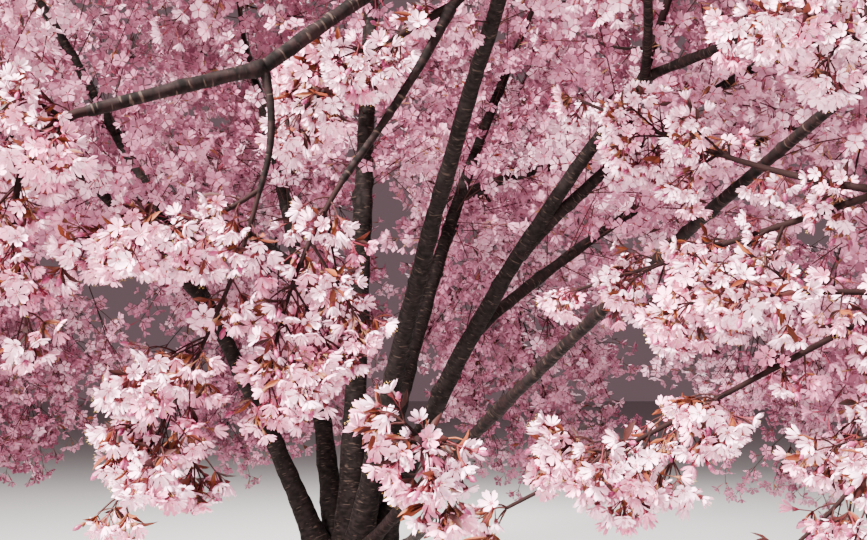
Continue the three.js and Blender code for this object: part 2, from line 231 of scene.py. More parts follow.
def band_of(tree, noise, low, high, at_low=0.0, at_high=1.0):
    band = node_in(tree, "ShaderNodeMapRange", interpolation_type="SMOOTHSTEP")
    values = {"From Min": low, "From Max": high, "To Min": at_low, "To Max": at_high}
    for socket, value in values.items():
        band.inputs[socket].default_value = value
    link(tree, noise, "Fac", band, "Value")
    return band


def blend_colours(tree, factor, first, second):
    mix = node_in(tree, "ShaderNodeMix", data_type="RGBA")
    link(tree, factor, "Result", mix, "Factor")
    for socket, value in zip(MIX_SOCKETS, (first, second)):
        if isinstance(value, tuple):
            mix.inputs[socket].default_value = value
        else:
            link(tree, value, MIX_RESULT, mix, socket)
    return mix


def bark_material(name, colour, grey_from, relief):
    material, tree, shader = new_material(name, colour, roughness=0.8, gloss=0.1)
    straight = node_in(tree, "ShaderNodeAttribute", attribute_name="straight")
    noises = [noise_on(tree, straight, *pattern) for pattern in BARK_PATTERNS.values()]
    weather, cracks, lenticels, lichen = noises
    shade = blend_colours(tree, band_of(tree, cracks, *CRACK_BAND), BARK_DARK, colour)
    grey = band_of(tree, weather, grey_from, grey_from + GREY_WIDTH)
    worn = blend_colours(tree, grey, shade, BARK_GREY)
    spotted = blend_colours(tree, band_of(tree, lichen, *LICHEN_BAND), worn, LICHEN)
    marks = band_of(tree, lenticels, *LENTICEL_BAND)
    marked = blend_colours(tree, marks, spotted, LENTICEL)
    link(tree, marked, MIX_RESULT, shader, "Base Color")
    link(tree, band_of(tree, cracks, *ROUGHNESS_BAND), "Result", shader, "Roughness")
    raised = node_in(tree, "ShaderNodeMath", operation="MULTIPLY_ADD")
    raised.inputs[1].default_value = LENTICEL_RISE
    link(tree, marks, "Result", raised, 0)
    link(tree, cracks, "Fac", raised, 2)
    bump = node_in(tree, "ShaderNodeBump")
    bump.inputs["Strength"].default_value = BARK_BUMP
    bump.inputs["Distance"].default_value = relief
    link(tree, raised, "Value", bump, "Height")
    link(tree, bump, "Normal", shader, "Normal")
    return material


old_bark = bark_material("old_bark", BARK_BROWN, 0.52, 0.003)
bough_bark = bark_material("bough_bark", BARK_PLUM, 0.55, 0.0011)


def put(name, data):
    made = bpy.data.objects.new(name, data)
    bpy.context.scene.collection.objects.link(made)
    return made


def smooth(mesh):
    mesh.polygons.foreach_set("use_smooth", [True] * len(mesh.polygons))


def mark(mesh, name, kind, values):
    attribute = mesh.attributes.new(name, kind, "POINT")
    values = values.astype(np.int32 if kind == "INT" else np.float32)
    attribute.data.foreach_set("vector" if kind == "FLOAT_VECTOR" else "value", values.ravel())


def new_mesh_object(name, points, faces, material=None):
    mesh = bpy.data.meshes.new(name)
    mesh.from_pydata(np.array(points).tolist(), [], faces)
    if material:
        mesh.materials.append(material)
    smooth(mesh)
    mesh.update()
    return put(name, mesh)


def dress(piece, slot, *nodes):
    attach(piece, "root")
    if nodes:
        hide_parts(*nodes)


def ring_faces(rings, around):
    k = np.arange(rings - 1)[:, None] * around
    j = np.arange(around)[None, :]
    after = (j + 1) % around
    quads = np.stack([k + j, k + after, k + around + after, k + around + j], axis=-1)
    return [tuple(face) for face in quads.reshape(-1, 4).tolist()]


# A skin is rings of points. It also keeps them as they lie on a straight limb, for the bark's pattern.
def skin(limb_name, centres, sides, others, radii, runs, material):
    rings, around = radii.shape
    angle = np.linspace(0, 2 * np.pi, around, endpoint=False)
    east, north = np.cos(angle), np.sin(angle)
    across_ring = east[None, :, None] * sides[:, None] + north[None, :, None] * others[:, None]
    shell = centres[:, None] + across_ring * radii[..., None]
    points = np.concatenate([shell.reshape(-1, 3), centres[:1], centres[-1:]])
    last = (rings - 1) * around
    foot, head = rings * around, rings * around + 1
    faces = ring_faces(rings, around)
    faces += [(foot, (i + 1) % around, i) for i in range(around)]
    faces += [(head, last + i, last + (i + 1) % around) for i in range(around)]
    made = new_mesh_object(f"bark_{limb_name}", points, faces, material)
    flat = np.stack([east * radii, north * radii, runs[:, None] + 0 * radii], axis=-1)
    straight = np.concatenate([flat.reshape(-1, 3), [up(runs[0]), up(runs[-1])]])
    mark(made.data, "straight", "FLOAT_VECTOR", straight)
    dress(made, "bark", limb_name)


# The bark's waves as their length along the limb and their height. Short ones turn more often round it.
LIMB_RELIEF = ((0.5, 0.05), (0.27, 0.045), (0.16, 0.04), (0.09, 0.028))
LIMB_RELIEF += ((0.07, 0.022), (0.05, 0.014), (0.034, 0.009), (0.025, 0.006))
TRUNK_RELIEF = ((0.6, 0.03), (0.35, 0.03), (0.2, 0.025), (0.12, 0.02), (0.07, 0.016), (0.045, 0.012))
TRUNK_CRACKS = ((0.03, 0.006), (0.022, 0.005), (0.017, 0.004))
LONG_WAVE = 0.1
SHORT_WAVE_TURNS = (2, 8)
LONG_WAVE_TURNS = (0, 3)
WAVE_STRETCH = (0.8, 1.25)
KNOT_HEIGHT = 0.26
KNOT_PLAY = (0.4, 1)
KNOT_WIDTH = (0.35, 0.7)
NARROWEST_KNOT = 0.003


def waves(chance, angle, runs, relief):
    total = np.zeros((len(runs), len(angle)))
    for length, height in relief:
        turns = chance.integers(*(LONG_WAVE_TURNS if length > LONG_WAVE else SHORT_WAVE_TURNS))
        pitch = 2 * np.pi / (length * chance.uniform(*WAVE_STRETCH))
        phase = chance.uniform(0, 2 * np.pi, 2)
        along = np.sin(pitch * runs[:, None] + phase[0])
        total += height * along * np.cos(turns * angle[None, :] + phase[1])
    return total


def knots(chance, angle, runs, radii, spacing):
    total = np.zeros((len(runs), len(angle)))
    span = runs[-1] - runs[0]
    for _ in range(int(span / spacing)):
        at, turn = chance.uniform(runs[0], runs[-1]), chance.uniform(0, 2 * np.pi)
        size = np.interp(at, runs, radii)
        wide = size * chance.uniform(*KNOT_WIDTH) + NARROWEST_KNOT
        off = (angle - turn + np.pi) % (2 * np.pi) - np.pi
        near = ((runs - at) / wide)[:, None] ** 2 + (off * size / wide)[None, :] ** 2
        total += KNOT_HEIGHT * chance.uniform(*KNOT_PLAY) * np.exp(-near)
    return total


STEEP = 0.97
LENGTH_SAMPLES = 65
THICK_LIMB = 0.03
SUNK_IN_TRUNK = 0.07
BOUGH_SLIMNESS = 0.9
ROUNDED_TIP = (35, 62, 80)
FEWEST_RINGS = 12

# The gap between knots on a bough, and on a thick limb.
KNOT_SPACING = (0.05, 0.1)

# A collar's swelling at the limb's foot, and how far out it fades, as shares of the limb's radius.
COLLAR_ON_TRUNK = (0.6, 3.4)
COLLAR_ON_LIMB = (0.3, 1.6)


def unit(vectors):
    return vectors / np.linalg.norm(vectors, axis=-1, keepdims=True)


def lerp(a, b, t):
    return a + (b - a) * t


def slope(start, via, tip, t):
    return unit((1 - t) * (via - start) + t * (tip - via))


def headings_on(bend, t):
    return slope(*bend, np.asarray(t, float)[..., None])


def length_of(bend):
    steps = np.diff(places_on(bend, np.linspace(0, 1, LENGTH_SAMPLES)), axis=0)
    return float(np.linalg.norm(steps, axis=1).sum())


def carried_frames(ways):
    side = np.cross(ways[0], [1.0, 0, 0] if abs(ways[0][2]) > STEEP else [0, 0, 1.0])
    sides = []
    for way in ways:
        side = unit(side - way * side.dot(way))
        sides.append(side)
    sides = np.array(sides)
    return sides, np.cross(sides, ways)


def bark_on_limb(limb, around, ring_gap, seed):
    chance = np.random.default_rng(seed)
    bend, base, end = limb["bend"], limb["base"], limb["end"]
    on_trunk = limb["parent"] == "trunk"
    thick = base > THICK_LIMB
    rings = max(FEWEST_RINGS, int(length_of(bend) / ring_gap))
    t = np.linspace(0, 1, rings + 1)
    centres, ways = places_on(bend, t), headings_on(bend, t)
    runs = np.concatenate([[0], np.cumsum(np.linalg.norm(np.diff(centres, axis=0), axis=1))])
    inside = SUNK_IN_TRUNK if on_trunk else limbs[limb["parent"]]["end"]
    collar, fades = COLLAR_ON_TRUNK if on_trunk else COLLAR_ON_LIMB
    radii = lerp(base, end, t)
    radii = radii * (1 + collar * np.exp(-np.maximum(runs - inside, 0) / (fades * base)))
    radii = radii * (1 if thick else BOUGH_SLIMNESS)
    tips = np.radians(ROUNDED_TIP)
    beyond = end * np.sin(tips)
    centres = np.concatenate([centres, centres[-1] + ways[-1] * beyond[:, None]])
    ways = np.concatenate([ways, np.repeat(ways[-1:], len(tips), axis=0)])
    runs = np.concatenate([runs, runs[-1] + beyond])
    radii = np.concatenate([radii, end * np.cos(tips)])
    angle = np.linspace(0, 2 * np.pi, around, endpoint=False)
    relief = waves(chance, angle, runs, LIMB_RELIEF)
    relief += knots(chance, angle, runs, radii, KNOT_SPACING[thick])
    shape = radii[:, None] * (1 + relief)
    skin(limb["name"], centres, *carried_frames(ways), shape, runs, old_bark if thick else bough_bark)


def smoothstep(value, low, high):
    share = np.clip((value - low) / (high - low), 0, 1)
    return share * share * (3 - 2 * share)


TRUNK_SEED = 3
TRUNK_SIDES = 120
TRUNK_RINGS = 110
RINGS_CROWD_LOW = 1.15
TRUNK_RADIUS = 0.112
FLARE_HEIGHT = 0.12
ROOT_LOBES = 5
ROOT_LOBE_DEPTH = 0.2
ROOT_LOBE_TURN = 0.6
SWELLS = (0.45, 0.92)
CLOSES_FROM = 0.93
CLOSES_BY = 0.72
FLUTES = 5
FLUTE_DEPTH = 0.06
FLUTE_TURN = 1.2
RIDGES = 13
RIDGE_DEPTH = 0.012
RIDGE_TWIST = 9
RIDGE_WANDER = 3
HIGH_RELIEF = 0.03
LEVEL_FOOT = 0.02


def bark_on_trunk():
    chance = np.random.default_rng(TRUNK_SEED)
    angle = np.linspace(0, 2 * np.pi, TRUNK_SIDES, endpoint=False)
    heights = np.linspace(0, 1, TRUNK_RINGS) ** RINGS_CROWD_LOW * FORK_HEIGHT
    flare = np.exp(-heights / FLARE_HEIGHT)
    swell = smoothstep(heights, SWELLS[0] * FORK_HEIGHT, SWELLS[1] * FORK_HEIGHT)
    radius = TRUNK_RADIUS + (FOOT_RADIUS - TRUNK_RADIUS) * flare + (FORK_RADIUS - TRUNK_RADIUS) * swell
    closing = np.sqrt(1 - CLOSES_BY * smoothstep(heights, CLOSES_FROM * FORK_HEIGHT, FORK_HEIGHT) ** 2)
    lobes = 1 + ROOT_LOBE_DEPTH * flare[:, None] * np.cos(ROOT_LOBES * angle[None, :] + ROOT_LOBE_TURN)
    flutes = FLUTE_DEPTH * swell[:, None] * np.cos(FLUTES * angle[None, :] + FLUTE_TURN)
    relief = waves(chance, angle, heights, TRUNK_RELIEF)
    wander = RIDGE_WANDER * relief / HIGH_RELIEF
    ridge_turn = RIDGES * angle[None, :] + RIDGE_TWIST * heights[:, None] + wander
    ridges = RIDGE_DEPTH * np.abs(np.sin(ridge_turn))
    cracks = waves(chance, angle, heights, TRUNK_CRACKS)
    fade = smoothstep(heights, 0, LEVEL_FOOT)[:, None]
    shape = (radius * closing)[:, None] * (lobes + flutes + (relief + cracks) * fade - ridges)
    sides = np.tile([1.0, 0, 0], (TRUNK_RINGS, 1))
    others = np.tile([0, 1.0, 0], (TRUNK_RINGS, 1))
    skin("trunk", trunk_centre(heights), sides, others, shape, heights, old_bark)


# How many sides a skin has, and the gap between its rings.
STEM_SKIN = (36, 0.018)
CROWN_BOUGH_SKIN = (16, 0.015)
FRONT_BOUGH_SKIN = (22, 0.011)
BARK_SEED = 101

bark_on_trunk()
grown_limbs = [limb for limb in limbs.values() if limb["parent"]]
for number, limb in enumerate(grown_limbs):
    fineness = CROWN_BOUGH_SKIN if limb["name"][-1] in "12" else FRONT_BOUGH_SKIN
    if limb["base"] > THICK_LIMB:
        fineness = STEM_SKIN
    bark_on_limb(limb, *fineness, BARK_SEED + number)


# Twigs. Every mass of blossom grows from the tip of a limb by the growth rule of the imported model: twigs are
# placed evenly along a stem and round it, and each is kept where it has room. In the crown, finer side twigs
# then grow between them and fill the mass's own share of the space.

# Each kind of crown mass as the reach and height of its tip, and how far its stem arches and its twigs droop.
SKIRT = (2.88, 1.72, 0.38, 0.2)
SHOULDER = (2.8, 3.55, 0.06, 0.0)
UPPER = (1.8, 4.6, -0.04, -0.12)
CROWN_TOP = 5.15
MASS_REACH = 1.0
MASS_TWIGS = 7
MASS_SPRAY = 0.235
FRONT_SPRAY = 0.042
FRONT_TWIG_SPACING = 0.1
FRONT_DROOP = 0.1
STEM_STEPS = 4
FIRST_TWIG = 0.15
LAST_TWIG = 0.9
SPREAD_ALONG = 0.754878
SPREAD_ROUND = 0.56984
TURN_PLAY = 0.7
PLACES_PER_TWIG = 8
TWIG_LEAN_LOW = 1.2
TWIG_LEAN_HIGH = 0.7
TWIG_SHORTEST = 0.5
TWIG_END_ROOM = 1.5
TWIG_TAPER = 0.6
BENDS_AT = 0.55
CHECKED_AT = [0.3, 0.6, 0.9]
STEM_SHARE_OF_TIP = 0.8
TWIG_SHARE_OF_STEM = 0.6
SPRAY_BACK = 0.5
SPRAY_PLAY = 0.15
SPRAY_SPACING = 0.72
SPACE_MARGIN = 0.01
LIMB_MARGIN = 0.006
FIRST_SEED = 4051
SEED_STEP = 977

masses = []


def add_mass(name, limb, tip, via=None, arch=0.0, droop=0.0, reach=MASS_REACH, front=False, fullness=1):
    carrier = limbs[limb]
    start = carrier["bend"][2] - headings_on(carrier["bend"], 1.0) * carrier["end"]
    tip = np.array(tip, float)
    middle = (start + tip) / 2 + up(arch) if via is None else np.array(via, float)
    mass = {"name": name, "number": len(masses), "bend": np.array([start, middle, tip]), "front": front}
    mass["radius"] = STEM_SHARE_OF_TIP * carrier["end"]
    mass["reach"] = reach
    mass["droop"] = droop
    mass["fullness"] = fullness
    mass["twigs"] = round(length_of(mass["bend"]) / FRONT_TWIG_SPACING) + 1 if front else MASS_TWIGS
    mass["spray"] = FRONT_SPRAY if front else MASS_SPRAY
    masses.append(mass)


for side, azimuths in CROWN_BOUGHS.items():
    for k, azimuth in enumerate(azimuths):
        for part, (reach, height, arch, droop) in (("skirt", SKIRT), ("shoulder", SHOULDER)):
            tip = polar(azimuth, reach, height)
            add_mass(f"{part}_{side}_{k + 1}", f"bough_{side}_{k + 1}", tip, arch=arch, droop=droop)

UPPER_AZIMUTHS = {"front": -82, "right": -22, "back_right": 48, "back_left": 120, "left": 190}
for side, azimuth in UPPER_AZIMUTHS.items():
    add_mass(f"upper_{side}", f"stem_{side}", polar(azimuth, *UPPER[:2]), arch=UPPER[2], droop=UPPER[3])
add_mass("upper_middle", "stem_middle", (0, 0, CROWN_TOP), droop=UPPER[3])
add_mass("shoulder_front_left", "stem_front", polar(-116, 2.35, 3.65), arch=0.15)
add_mass("shoulder_front_right", "stem_front", polar(-58, 2.6, 3.65), arch=0.1)

# The bough that bears each mass of the front, the point its stem bends by, its tip, its reach and how closely
# its shoots stand. The lower right ones are more open, and show their twigs.
FRONT_MASSES = {
    "left_edge": ("outer_left", (-0.39, -3.085, 1.965), (-0.32, -3.075, 1.68), 0.165, 1.1),
    "left_upper": ("hanging_left", (-0.09, -3.02, 1.79), (-0.235, -3.04, 1.795), 0.17, 1.45),
    "left_low": ("hanging_left", (-0.02, -3.005, 1.68), (-0.18, -3.015, 1.4), 0.185, 0.85),
    "middle_upper": ("over_middle", (0.225, -2.875, 2.17), (0.075, -2.89, 2.035), 0.15, 1.25),
    "middle_low": ("hanging_middle", (0.06, -2.96, 1.755), (0.04, -2.99, 1.575), 0.2, 1),
    "right_upper": ("low_right", (0.99, -2.955, 2.19), (0.815, -2.955, 2.18), 0.17, 1),
    "right_far_high": ("over_right", (0.95, -2.53, 1.98), (0.63, -2.305, 2.195), 0.15, 0.6),
    "right_far_low": ("over_right", (0.935, -2.57, 1.865), (0.605, -2.36, 1.775), 0.15, 0.6),
    "right_middle": ("hanging_right", (0.96, -2.96, 1.73), (0.7, -3.02, 1.695), 0.16, 0.8),
    "right_low": ("hanging_right", (0.83, -3.015, 1.59), (0.41, -3.075, 1.385), 0.15, 0.38),
    "right_corner": ("hanging_right", (1.05, -3.035, 1.485), (0.84, -3.07, 1.33), 0.17, 0.65),
    "low": ("low_front", (0.29, -3.33, 1.49), (0.28, -3.425, 1.5), 0.13, 1.4),
}
for side, (limb, via, tip, reach, fullness) in FRONT_MASSES.items():
    add_mass(f"front_{side}", f"bough_{limb}", tip, via, 0.0, FRONT_DROOP, reach, True, fullness)

LINE_SAMPLES = 9
PLACES_AT_ONCE = 4000


def lines_of(grown):
    return np.array([places_on(one["bend"], np.linspace(0, 1, LINE_SAMPLES)) for one in grown])


mass_lines, limb_lines = lines_of(masses), lines_of(grown_limbs)
mass_reaches = np.array([mass["reach"] for mass in masses])
limb_bases = np.array([limb["base"] for limb in grown_limbs])
trunk_line = trunk_centre([0, FORK_HEIGHT / 2, FORK_HEIGHT])[None]


def distances(places, lines):
    start = lines[None, :, :-1]
    run = lines[None, :, 1:] - start
    off = places[:, None, None] - start
    share = np.clip((off * run).sum(-1) / np.maximum((run * run).sum(-1), 1e-12), 0, 1)
    gap = off - share[..., None] * run
    return np.sqrt((gap * gap).sum(-1).min(-1))


# A place has room where it clears the trunk and limbs and, for a mass, lies in its share of the space.
def has_room(number, places, radii, limb_gap=LIMB_MARGIN, shared=False):
    room = []
    for k in range(0, len(places), PLACES_AT_ONCE):
        place, radius = places[k : k + PLACES_AT_ONCE], radii[k : k + PLACES_AT_ONCE]
        clear = distances(place, limb_lines) - limb_bases > radius[:, None] + limb_gap
        off_trunk = distances(place, trunk_line)[:, 0] > FOOT_RADIUS + radius + limb_gap
        free = clear.all(-1) & off_trunk
        if number is not None:
            gaps = distances(place, mass_lines)
            own = (gaps[:, number] + radius) / mass_reaches[number]
            others = (gaps - radius[:, None]) / mass_reaches
            others[:, number] = np.inf
            free &= (own <= 1) & (shared | (others.min(-1) >= own + SPACE_MARGIN))
        room.append(free)
    return np.concatenate(room)


def in_box(places, margin):
    return ((places > cad_low + margin) & (places < cad_high - margin)).all(-1)


def across(ways):
    level = np.where(np.abs(ways[..., 2:]) > STEEP, [1.0, 0.0, 0.0], [0.0, 0.0, 1.0])
    side = unit(np.cross(ways, level))
    return side, np.cross(side, ways)


def leaning(ways, turn, lean):
    side, other = across(ways)
    turn, lean = np.asarray(turn)[..., None], np.asarray(lean)[..., None]
    out = side * np.cos(turn) + other * np.sin(turn)
    return ways * np.cos(lean) + out * np.sin(lean)


def chances(seed):
    state = seed
    while True:
        state = (state * 16807) % 2147483647
        yield state / 2147483647


def spray_middle(bend, spray):
    return bend[2] + headings_on(bend, 1.0) * SPRAY_BACK * spray


def grow(mass):
    stream = chances(FIRST_SEED + SEED_STEP * mass["number"])
    bend, radius, spray = mass["bend"], mass["radius"], mass["spray"]
    chords = places_on(bend, np.linspace(0, 1, STEM_STEPS + 1))
    grown = [{"bend": bend, "base": radius, "end": STEM_TAPER * radius, "spray": spray}]
    middles, sizes, wood = [spray_middle(bend, spray)], [spray], []
    for k in range(1, PLACES_PER_TWIG * mass["twigs"] + 1):
        if len(grown) > mass["twigs"]:
            break
        t = FIRST_TWIG + (LAST_TWIG - FIRST_TWIG) * ((k * SPREAD_ALONG) % 1)
        turn = 2 * math.pi * ((k * SPREAD_ROUND) % 1) + (next(stream) - 0.5) * TURN_PLAY
        way = leaning(headings_on(bend, t), turn, lerp(TWIG_LEAN_LOW, TWIG_LEAN_HIGH, t))
        size = spray * lerp(1 - SPRAY_PLAY, 1 + SPRAY_PLAY, next(stream))
        length = lerp(TWIG_SHORTEST, 1, next(stream)) * (mass["reach"] - TWIG_END_ROOM * size)
        chord = int(t * STEM_STEPS)
        root = lerp(chords[chord], chords[chord + 1], t * STEM_STEPS - chord)
        tip = root + way * length - up(mass["droop"] * length)
        twig_bend = np.array([root, root + BENDS_AT * length * way, tip])
        base = TWIG_SHARE_OF_STEM * lerp(radius, STEM_TAPER * radius, t)
        middle = spray_middle(twig_bend, size)
        path = places_on(twig_bend, CHECKED_AT)
        radii = np.array([base] * len(CHECKED_AT) + [size])
        room = has_room(mass["number"], np.vstack([path, middle]), radii).all()
        apart = np.linalg.norm(np.array(middles) - middle, axis=1) > SPRAY_SPACING * (np.array(sizes) + size)
        gaps = np.linalg.norm(np.array(middles)[:, None] - path[None], axis=-1)
        passes = (gaps > np.array(sizes)[:, None]).all()
        open_air = all(np.linalg.norm(place - middle) > size for place in wood)
        if room and apart.all() and passes and open_air:
            grown.append({"bend": twig_bend, "base": base, "end": TWIG_TAPER * base, "spray": size})
            middles.append(middle)
            sizes.append(size)
            wood.extend(path)
    return grown


def spread(count, first, span, along, around, chance):
    k = np.arange(1, count + 1)
    t = first + span * ((k * SPREAD_ALONG + along) % 1)
    turn = 2 * np.pi * ((k * SPREAD_ROUND + around) % 1) + (chance.random(count) - 0.5) * TURN_PLAY
    return t, turn


# Side twigs fill in between the first twigs of each mass's stem, from near its foot to near its tip. They are
# shortened where they lack room, and the skirts' ones stay above the space under the crown.
SIDE_TWIGS = 11
SIDE_TWIG_SPREAD = (0.05, 0.9, 0.43, 0.29)
SIDE_TWIG_LEAN = (1.35, 0.8)
SIDE_TWIG_LENGTH = (0.6, 1)
SIDE_TWIG_THICK = 0.5
SIDE_TWIG_SPRAY = 0.7
SIDE_TWIG_END_ROOM = 0.2
SIDE_TWIG_BOX_ROOM = 0.3
SIDE_TWIG_ROOM = 0.02
SIDE_TWIG_MIDDLE = 0.6
SHORTENED = (1, 0.8, 0.6)
SKIRT_HANGS_TO = 1.25

# Where masses stand wide apart, at the back and round the top, they carry more side twigs that close the gap.
MORE_SIDE_TWIGS = {
    "upper_middle": 24,
    "upper_left": 19,
    "upper_front": 18,
    "upper_right": 19,
    "upper_back_right": 16,
    "upper_back_left": 14,
    "shoulder_back_left_1": 20,
    "shoulder_back_right_2": 20,
    "skirt_back_left_1": 20,
    "skirt_back_left_2": 15,
    "skirt_back_right_2": 17,
}


def grow_side_twigs(mass, chance):
    number, bend, radius = mass["number"], mass["bend"], mass["radius"]
    count = MORE_SIDE_TWIGS.get(mass["name"], SIDE_TWIGS)
    t, turn = spread(count, *SIDE_TWIG_SPREAD, chance)
    ways = leaning(headings_on(bend, t), turn, lerp(*SIDE_TWIG_LEAN, t))
    longest = mass["reach"] - SIDE_TWIG_END_ROOM
    lengths = (lerp(*SIDE_TWIG_LENGTH, chance.random(count)) * longest)[:, None]
    roots = places_on(bend, t)
    chosen, kept = np.zeros_like(roots), np.zeros(count, bool)
    thin = np.full(count, SIDE_TWIG_ROOM)
    for shorter in SHORTENED:
        tips = roots + shorter * lengths * (ways - up(mass["droop"]))
        middles = roots + SIDE_TWIG_MIDDLE * (tips - roots)
        fits = has_room(number, tips, thin) & has_room(number, middles, thin, shared=True)
        fits &= in_box(tips, SIDE_TWIG_BOX_ROOM) & (tips[:, 2] > SKIRT_HANGS_TO)
        chosen = np.where((fits & ~kept)[:, None], tips, chosen)
        kept = kept | fits
    base = SIDE_TWIG_THICK * lerp(radius, STEM_TAPER * radius, t)
    spray = SIDE_TWIG_SPRAY * mass["spray"]
    grown = []
    for i in np.flatnonzero(kept):
        via = roots[i] + BENDS_AT * np.linalg.norm(chosen[i] - roots[i]) * ways[i]
        twig_bend = np.array([roots[i], via, chosen[i]])
        grown.append({"bend": twig_bend, "base": base[i], "end": base[i] / 2, "spray": spray})
    return grown


# Shoots. They branch from the stems and twigs of each mass by the same rule, finer and closer, so that it
# fills its space. Near the eye they are spurs a finger long. The boughs and the stems' ends bear shoots too.

# Here and later, a pair that is indexed by front has a value for the crown and one for the front.
SHOOT_GAP = (0.115, 0.018)
SHOOT_LONGEST = (0.50, 0.055)
SHOOT_RADIUS = (0.0028, 0.0017)
SHOOT_SIDES = (3, 4)
SHOOT_FALL = (0.05, 0.25)
TWIG_SIDES = (5, 8)
TWIG_STEPS = (7, 10)
SHOOT_STEPS = 3
SHOOT_TAPER = 0.6
SHOOT_LENGTH = (0.45, 1)
FEWEST_SHOOTS = 2
SHOOTS_AT_TIP = 5
TIP_SHOOT_LEAN = (0.25, 1.15)
TIP_SHOOT_LONGEST = 1.25
TIP_SHOOT_LENGTH = (0.6, 1)
TWIG_BEARS_FROM = 0.1
SHIFT_ALONG = 0.31
SHIFT_ROUND = 0.17
SHOOT_ROOM = 0.01
SHOOT_BOX_ROOM = 0.07


def grow_shoots(mass, grown, chance):
    front = mass["front"]
    roots, ways, lengths = [], [], []
    for order, twig in enumerate(grown):
        bend = twig["bend"]
        count = max(FEWEST_SHOOTS, int(mass["fullness"] * length_of(bend) / SHOOT_GAP[front]))
        shifts = (SHIFT_ALONG * order, SHIFT_ROUND * order)
        t, turn = spread(count, TWIG_BEARS_FROM, 1 - TWIG_BEARS_FROM, *shifts, chance)
        roots.append(places_on(bend, t))
        ways.append(leaning(headings_on(bend, t), turn, lerp(TWIG_LEAN_LOW, TWIG_LEAN_HIGH, t)))
        lengths.append(SHOOT_LONGEST[front] * lerp(*SHOOT_LENGTH, chance.random(count)))
        turn = 2 * np.pi * (np.arange(SHOOTS_AT_TIP) / SHOOTS_AT_TIP + chance.random())
        lean = lerp(*TIP_SHOOT_LEAN, chance.random(SHOOTS_AT_TIP))
        roots.append(np.repeat(bend[2:], SHOOTS_AT_TIP, axis=0))
        ways.append(leaning(np.repeat(headings_on(bend, [1.0]), SHOOTS_AT_TIP, axis=0), turn, lean))
        shorter = lerp(*TIP_SHOOT_LENGTH, chance.random(SHOOTS_AT_TIP))
        lengths.append(TIP_SHOOT_LONGEST * twig["spray"] * shorter)
    roots, ways, lengths = np.concatenate(roots), np.concatenate(ways), np.concatenate(lengths)
    tips = roots + ways * lengths[:, None] - up(mass["droop"] + SHOOT_FALL[front]) * lengths[:, None]
    vias = roots + BENDS_AT * lengths[:, None] * ways
    keep = has_room(mass["number"], tips, np.full(len(tips), SHOOT_ROOM), shared=True)
    keep &= in_box(tips, SHOOT_BOX_ROOM)
    return np.stack([roots, vias, tips], axis=1)[keep]


# The low front stays open: nothing on the boughs over it grows into its window, the space that is seen from
# the eye under them.
EYE = (0.30, -4.90, 1.55)
WINDOW_RISE = 0.37
WINDOW_SIDE = 0.41
LIMB_SHOOT_GAP = 0.03
LIMB_SHOOT_LEAN = (1.2, 0.6)
LIMB_SHOOT_FALL = 0.08
LIMB_SHOOT_LENGTH = (0.4, 1)
LIMB_SHOOT_ROOM = 0.02
LIMB_SHOOT_BOX_ROOM = 0.08
BLOSSOM_HANGS = 0.12

# The longest shoot on most limbs, and on the boughs over the window.
LIMB_SHOOT_LONGEST = (0.66, 0.42)

# The share of each limb's length that bears no shoots.
BEARS_FROM = {
    "bough_left_1": 0.12,
    "bough_over_left": 0.1,
    "bough_over_middle": 0.1,
    "bough_over_right": 0.1,
    "stem_middle": 0.45,
    "stem_back_right": 0.58,
    "stem_back_left": 0.58,
    "stem_left": 0.55,
    "stem_front": 0.86,
    "stem_right": 0.88,
}
BEARS_FROM.update({name: 0.18 for name in limbs if name[-1] in "12" and name not in BEARS_FROM})


def outside_window(places):
    off = places - np.array(EYE)
    return (off[:, 2] > WINDOW_RISE * off[:, 1]) | (np.abs(off[:, 0]) > WINDOW_SIDE * off[:, 1])


def shoots_on_limb(limb, first, chance):
    bend, over = limb["bend"], "over" in limb["name"]
    count = int(length_of(bend) * (1 - first) / LIMB_SHOOT_GAP)
    t, turn = spread(count, first, 1 - first, 0, 0, chance)
    roots = places_on(bend, t)
    ways = leaning(headings_on(bend, t), turn, lerp(*LIMB_SHOOT_LEAN, chance.random(count)))
    lengths = LIMB_SHOOT_LONGEST[over] * lerp(*LIMB_SHOOT_LENGTH, chance.random(count))[:, None]
    tips = roots + ways * lengths - up(LIMB_SHOOT_FALL) * lengths
    keep = has_room(None, tips, np.full(count, LIMB_SHOOT_ROOM)) & in_box(tips, LIMB_SHOOT_BOX_ROOM)
    if over:
        keep &= outside_window(tips - up(BLOSSOM_HANGS))
    return np.stack([roots, roots + BENDS_AT * lengths * ways, tips], axis=1)[keep]


def new_tree(name, inputs, output):
    tree = bpy.data.node_groups.new(name, "GeometryNodeTree")
    keys = {}
    for label, kind in inputs.items():
        keys[label] = tree.interface.new_socket(label, in_out="INPUT", socket_type=kind).identifier
    tree.interface.new_socket(output, in_out="OUTPUT", socket_type="NodeSocketGeometry")
    return tree, keys, node_in(tree, "NodeGroupInput"), node_in(tree, "NodeGroupOutput")


def read_values(tree, name, kind):
    reader = node_in(tree, "GeometryNodeInputNamedAttribute", data_type=kind)
    reader.inputs["Name"].default_value = name
    return reader


